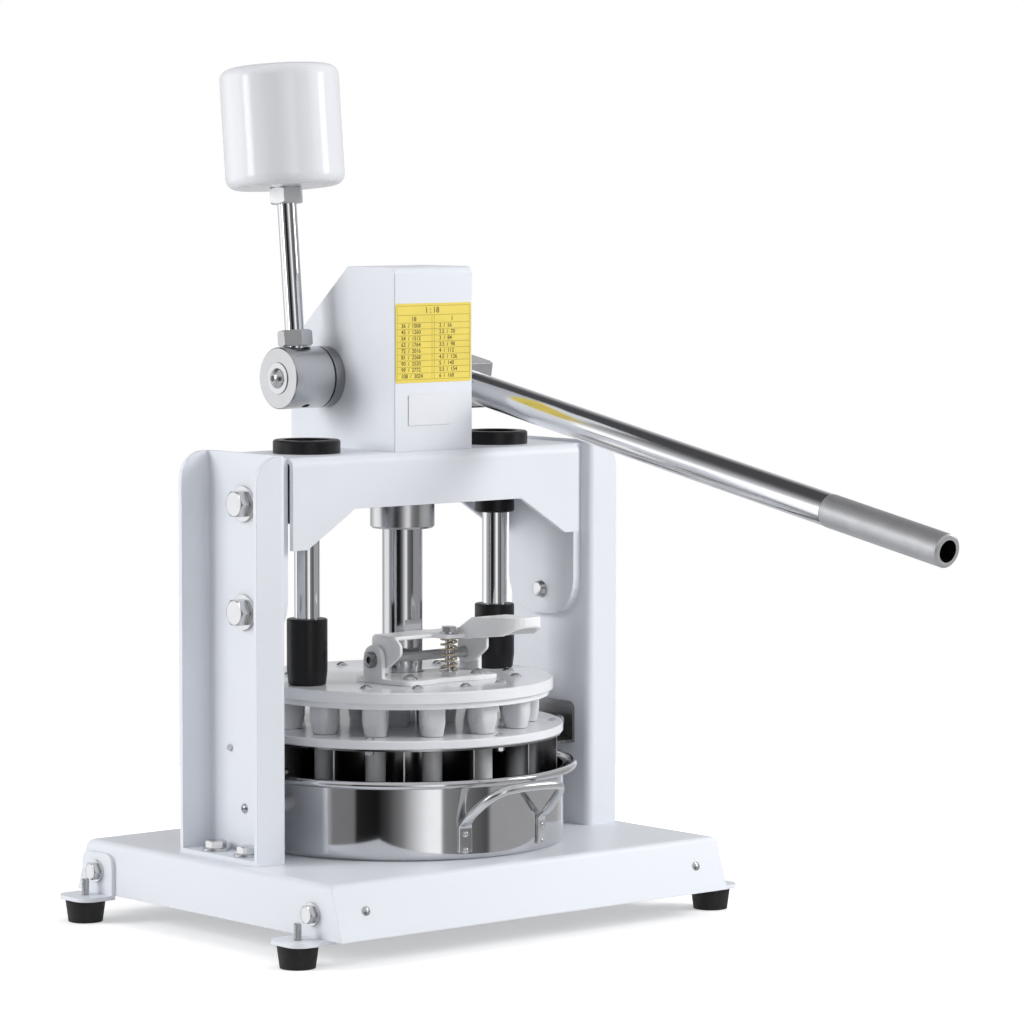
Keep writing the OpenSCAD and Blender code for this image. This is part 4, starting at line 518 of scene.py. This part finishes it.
# Ground outer ends of the radial knives
knife_reach, knife_half_t, knife_toe = 156, 0.75, 5
knife_low, knife_high = (corner.z for corner in node_box("radial_knives"))
ends = Shape()
for i in range(CELLS_ROUND):
    turned_to = Matrix.Rotation(2 * pi * (i + 0.5) / CELLS_ROUND, 4, "Z")
    strip = ((-knife_half_t, knife_low + knife_toe), (knife_half_t, knife_high))
    ends.plate(strip, 0.2, 0.15, turned_to @ at(0, -knife_reach, 0) @ FRONT)
ends.piece("knife_ground_ends", NUT, "ram", "stainless_sheet")

# Pan handle: a rod bent into an arch, its ends flattened against the pan's wall
pan_r, tab_x, tab_half_w, tab_half_t, rod_r, wall_gap = 161, 48, 7, 1.25, 4.5, 0.05
pan_low = node_box("dough_pan")[0].z
tab_turn = asin(tab_x / pan_r)
wall_out = Vector((sin(tab_turn), -cos(tab_turn), 0))
arch_out = Vector((0, -0.646, -0.763))


def on_wall(z):
    return wall_out * (pan_r + tab_half_t + wall_gap) + Vector((0, 0, pan_low + z))


def off_wall(x, y, z):
    return Vector((x, y, pan_low + z))


# Stations of the right half: place, half width, half thickness, squareness, and how far it has left the wall
TAB, ROUND_ROD = (tab_half_w, tab_half_t, 0.25, 0), (rod_r, rod_r, 1, 1)
STATIONS = [
    (on_wall(8), tab_half_w - 0.4, tab_half_t, 0.3, 0),
    (on_wall(9), *TAB),
    (on_wall(22), *TAB),
    (on_wall(33), tab_half_w, 1.4, 0.3, 0.05),
    (off_wall(50, -161.5, 40), 5.8, 3.2, 0.75, 0.5),
    (off_wall(48.5, -172, 50), *ROUND_ROD),
    (off_wall(44, -187, 62.5), *ROUND_ROD),
    (off_wall(34, -197, 70), *ROUND_ROD),
    (off_wall(18, -200, 72), *ROUND_ROD),
    (off_wall(0, -200.3, 72.3), *ROUND_ROD)]


def mirrored(v):
    return Vector((-v.x, v.y, v.z))


def between(values, i, share):
    """Smooth curve through a row of values, a share of the way from one to the next."""
    a, b, c, d = (values[min(max(i + k, 0), len(values) - 1)] for k in (-1, 0, 1, 2))
    return b + (c - a) * (share / 2) + (a * 2 - b * 5 + c * 4 - d) * (share ** 2 / 2) \
        + (b * 3 - c * 3 + d - a) * (share ** 3 / 2)


stations = STATIONS + [(mirrored(place), *rest) for place, *rest in STATIONS[-2::-1]]
places = [place for place, *rest in stations]
steps, last = 6, len(stations) - 2
track = []
for i in range(last + 1):
    for k in range(steps + (i == last)):
        sizes = [b + (e - b) * (k / steps) for b, e in zip(stations[i][1:], stations[i + 1][1:])]
        track.append((between(places, i, k / steps), *sizes))
rows = []
for i, (place, half_w, half_t, power, left) in enumerate(track):
    ahead = (track[min(i + 1, len(track) - 1)][0] - track[max(i - 1, 0)][0]).normalized()
    wall = wall_out if place.x > 0 else mirrored(wall_out)
    thick = wall * (1 - left) + arch_out * left
    thick = (thick - ahead * thick.dot(ahead)).normalized()
    wide = ahead.cross(thick)
    rows.append([place + wide * x + thick * y for x, y, z in squarish(half_w, half_t, power, 0, 24)])
pan_handle = Shape()
pan_handle.loft(rows)
pan_handle.piece("pan_handle_bent", ROD, "frame", "stainless_sheet", ["pan_handle"], 60)

# Pressed latch: the solids' own shapes with their edges rounded over


def rounded_copy(node, body, voxel=0.8, passes=6):
    """A piece with a node's shape, its edges worn round over about one voxel."""
    obj = bpy.data.objects.new(node + "_rounded", NODES[node].data.copy())
    obj.data.materials.clear()
    even = obj.modifiers.new("even", "REMESH")
    even.mode, even.voxel_size, even.use_smooth_shade = "VOXEL", voxel * MM, True
    worn = obj.modifiers.new("worn", "SMOOTH")
    worn.factor, worn.iterations = 0.5, passes
    # The latch takes the whiter lacquer: painted light
    place_piece(obj, LIT_LACQUER, body, [node])


rounded_copy("latch_lever", "latch")
rounded_copy("latch_bracket", "press")

# Chart on the housing's front: a yellow card with ruled rows and plain numbers
FACE_Y = -48.5
CARD, CARD_T = ((-48, 534), (48, 611.7)), 0.3


def on_face(lift=0.0):
    """The housing's front: x and z of the machine, depth towards the viewer."""
    return at(0, FACE_Y - lift, 0) @ FRONT


card = Shape()
card.plate(CARD, 2.5, CARD_T, on_face())
card.piece("chart_card", YELLOW, "frame")

line_count, line_pitch, title_z, head_z, first_z = 9, 6.16, 609.2, 600.2, 592.6
border_x, column_x, rule_half = 46, (-2, 1), 0.2
rows = [title_z, head_z, first_z] + [first_z - line_pitch * i for i in range(1, line_count + 1)]
rules = Shape()


def rule(x0, x1, z0, z1):
    rules.plate(((x0, z0), (x1, z1)), 0.05, 0.06, on_face(CARD_T - 0.02))


for z in rows:
    rule(-border_x, border_x, z - rule_half, z + rule_half)
for x in (-border_x, border_x):
    rule(x - rule_half, x + rule_half, rows[-1] - rule_half, rows[0] + rule_half)
for x in column_x:
    rule(x - rule_half, x + rule_half, rows[-1] - rule_half, rows[1] + rule_half)
rules.piece("chart_rules", RULE, "frame")


def lettering(name, entries, mat):
    """Plain numbers on the chart, given as (text, left x, baseline z, height)."""
    half_t, weight = 0.03 * MM, 0.07 * MM
    face_y = (FACE_Y - CARD_T - 0.02) * MM
    shape = bmesh.new()
    for text, x, z, size in entries:
        curve = bpy.data.curves.new(name, "FONT")
        curve.body, curve.size, curve.extrude, curve.offset = text, size * MM, half_t, weight
        made = bpy.data.objects.new(name, curve)
        bpy.context.scene.collection.objects.link(made)
        bpy.context.view_layer.update()
        mesh = bpy.data.meshes.new_from_object(made.evaluated_get(bpy.context.evaluated_depsgraph_get()))
        mesh.transform(Matrix.Translation((x * MM, face_y, z * MM)) @ FRONT)
        shape.from_mesh(mesh)
        bpy.data.objects.remove(made)
        bpy.data.curves.remove(curve)
        bpy.data.meshes.remove(mesh)
    mesh = bpy.data.meshes.new(name)
    shape.to_mesh(mesh)
    shape.free()
    place_piece(bpy.data.objects.new(name, mesh), mat, "frame")


# Weights of the batch and of one cell in ounces and grams, in half-ounce steps
cells, grams, first_share, share_step = 18, 28, 2, 0.5
title_size, head_size, line_size, line_lift = 8.0, 6.2, 5.6, 1.5
entries = [("1 : 18", -11, 602.3, title_size), ("18", -28, 594.3, head_size), ("1", 22, 594.3, head_size)]
for i in range(line_count):
    share = first_share + share_step * i
    z = rows[i + 3] + line_lift
    entries.append((f"{int(cells * share)}  /  {int(cells * grams * share)}", -41, z, line_size))
    entries.append((f"{share:g}  /  {int(grams * share)}", 7, z, line_size))
lettering("chart_numbers", entries, INK)

NAME_PLATE, NAME_PLATE_T = ((-32, 492), (21, 522.4)), 0.9
plate = Shape()
plate.plate(NAME_PLATE, 1.5, NAME_PLATE_T, on_face())
plate.piece("bare_name_plate", GLOSS, "frame")

# Painted shadow: a dark strip for the shade in the seam where the housing's folded front meets its left side
SEAM_SHADOW_LINE, SEAM_SHADOW_T = ((-48.97, 467.2), (-48.53, 640)), 0.06
seam_shadows = Shape()
seam_shadows.plate(SEAM_SHADOW_LINE, 0.05, SEAM_SHADOW_T, on_face())
seam_shadows.piece("housing_seam_shadows", SEAM_SHADOW, "frame")

# Floor: it glows for the camera alone, less under the machine
floor_r, floor_z, glow_from, glow_to, glow_low = 1.15, -0.0004, 0.3, 1.0, 0.4
floor_look = Look("pale_floor", (0.86, 0.86, 0.86), 0.9, specular_ior_level=0.0, emission_color=(1, 1, 1, 1))
spread = floor_look.node("ShaderNodeVectorMath", {0: floor_look.coords}, operation="LENGTH").outputs["Value"]
glow = {"Value": spread, "From Min": glow_from, "From Max": glow_to, "To Min": glow_low, "To Max": 1.0}
glow = floor_look.node("ShaderNodeMapRange", glow, interpolation_type="SMOOTHSTEP").outputs[0]
glow = floor_look.math("MULTIPLY", glow, floor_look.node("ShaderNodeLightPath").outputs["Is Camera Ray"])
floor_look.tree.links.new(glow, floor_look.shader.inputs["Emission Strength"])
bpy.ops.mesh.primitive_circle_add(vertices=128, radius=floor_r, fill_type="NGON", location=(0, 0, floor_z))
floor = bpy.context.object
floor.name = "floor"
floor.data.materials.append(floor_look.done())
floor.visible_glossy = False

# Camera's direction: back points from the machine to the camera
azimuth, elevation, roll = radians(-40.546), radians(4.437), radians(0.0626)
back = Vector((sin(azimuth) * cos(elevation), -cos(azimuth) * cos(elevation), sin(elevation)))
right = Vector((cos(azimuth), sin(azimuth), 0))
flat = Vector((back.x, back.y, 0)).normalized()

# Round the horizon the studio has dark cards and bright screens, as degrees from the camera and brightness
ROUND = (
    (-180, 1.2), (-135, 1.2), (-115, 2.6), (-85, 2.6), (-78, 0.95), (-52, 0.9), (-49, 0.48), (-33, 0.46),
    (-31, 0.04), (-16, 0.02), (-9, 0.12), (1, 0.5), (19, 2.4), (28, 2.6), (30, 0.6), (64, 0.18), (67, 0.85),
    (144, 0.9), (152, 1.2), (180, 1.2))
CEILING, FLAG, GROUND = (1.25, 1.25, 1.28, 1), (0.14, 0.14, 0.15, 1), (1.1, 1.1, 1.1, 1)
glossy_strength, diffuse_strength = 0.5, 0.26

world = bpy.data.worlds.new("studio")
bpy.context.scene.world = world
world.use_nodes = True
world.node_tree.nodes.clear()
wnode = partial(add_node, world.node_tree)


def along(axis):
    """How far a ray points along an axis."""
    return wnode("ShaderNodeVectorMath", {0: ray, 1: axis}, operation="DOT_PRODUCT").outputs["Value"]


def fade(value, low, high):
    """Smooth step from 0 at low to 1 at high."""
    inputs = {"Value": value, "From Min": low, "From Max": high}
    return wnode("ShaderNodeMapRange", inputs, interpolation_type="SMOOTHSTEP").outputs[0]


def blend(fac, a, b):
    """Mixes two colours by a factor."""
    return wnode("ShaderNodeMix", {0: fac, 6: a, 7: b}, data_type="RGBA").outputs[2]


ray = wnode("ShaderNodeTexCoord").outputs["Generated"]
turn = wnode("ShaderNodeMath", {0: along(right), 1: along(flat)}, operation="ARCTAN2").outputs[0]
share = wnode("ShaderNodeMapRange", {"Value": turn, "From Min": -pi, "From Max": pi}).outputs[0]
ramp = wnode("ShaderNodeValToRGB", {0: share})
stops = ramp.color_ramp.elements
while len(stops) < len(ROUND):
    stops.new(0.5)
for stop, (degrees, bright) in zip(stops, ROUND):
    stop.position = (degrees + 180) / 360
    stop.color = (bright, bright, bright * 1.01, 1)

# A pale ceiling over the screens, a dark flag over the rear, and pale ground
x, depth, height = wnode("ShaderNodeSeparateXYZ", {0: ray}).outputs
over_rear = wnode("ShaderNodeMath", {0: fade(depth, 0.2, 0.45), 1: fade(height, 0.3, 0.78)},
                  operation="MULTIPLY").outputs[0]
sky = blend(over_rear, blend(fade(height, 0.2, 0.35), ramp.outputs[0], CEILING), FLAG)
path = wnode("ShaderNodeLightPath").outputs
strength = wnode("ShaderNodeMapRange", {"Value": path["Is Diffuse Ray"], "To Min": glossy_strength,
                                        "To Max": diffuse_strength}).outputs[0]
room = wnode("ShaderNodeBackground", {"Color": blend(fade(height, -0.3, -0.5), sky, GROUND), "Strength": strength})
screen = wnode("ShaderNodeBackground", {"Color": (1, 1, 1, 1), "Strength": 1.0})
mixed = wnode("ShaderNodeMixShader", {0: path["Is Camera Ray"], 1: room.outputs[0], 2: screen.outputs[0]})
wnode("ShaderNodeOutputWorld", {"Surface": mixed.outputs[0]})


def softbox(name, place, aim, wide, high, watts, shown=False):
    """Area lamp. Only one that is shown appears in reflections."""
    data = bpy.data.lights.new(name, "AREA")
    data.shape, data.size, data.size_y, data.energy = "RECTANGLE", wide, high, watts
    obj = bpy.data.objects.new(name, data)
    bpy.context.scene.collection.objects.link(obj)
    obj.location = place
    obj.rotation_euler = (Vector(aim) - Vector(place)).to_track_quat("-Z", "Y").to_euler()
    obj.visible_glossy = shown


softbox("key_light", (1.8, -2.5, 1.8), (0, 0, 0.4), 1.6, 1.6, 70)
softbox("left_light", (-2.7, 1.5, 1.5), (0, 0, 0.5), 1.6, 1.6, 58)
softbox("fill_light", (-1.3, -2.8, 1.0), (0, 0, 0.4), 1.6, 1.6, 11)
softbox("top_light", (0.2, 0.3, 3.4), (0, 0, 0.4), 2.6, 2.6, 20)

# Two upright strips that the counterweight's enamel reflects, as degrees from the camera
strip_away, strip_wide, strip_high, strip_watts = 1.3, 0.3, 0.6, 2.2
weight = sum((Vector(corner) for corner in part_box("counterweight")), Vector()) / 2
for name, degrees in (("left_strip", -64), ("right_strip", 89)):
    way = flat * cos(radians(degrees)) + right * sin(radians(degrees))
    softbox(name, weight + strip_away * way, weight, strip_wide, strip_high, strip_watts, True)

# Camera, solved from the photo's corner points
cam_aim, cam_away = Vector((0.14317, 0, 0.39610)), 4.57913
cam_data = bpy.data.cameras.new("camera")
cam_data.sensor_width, cam_data.lens = 36.0, 158.98
cam_data.clip_start, cam_data.clip_end = 0.05, 200
camera = bpy.data.objects.new("camera", cam_data)
bpy.context.scene.collection.objects.link(camera)
up = back.cross(right)
axes = (right * cos(roll) + up * sin(roll), up * cos(roll) - right * sin(roll), back)
camera.matrix_world = Matrix.Translation(cam_aim + back * cam_away) @ Matrix(axes).transposed().to_4x4()
bpy.context.scene.camera = camera

bpy.context.scene.view_settings.view_transform = "Standard"
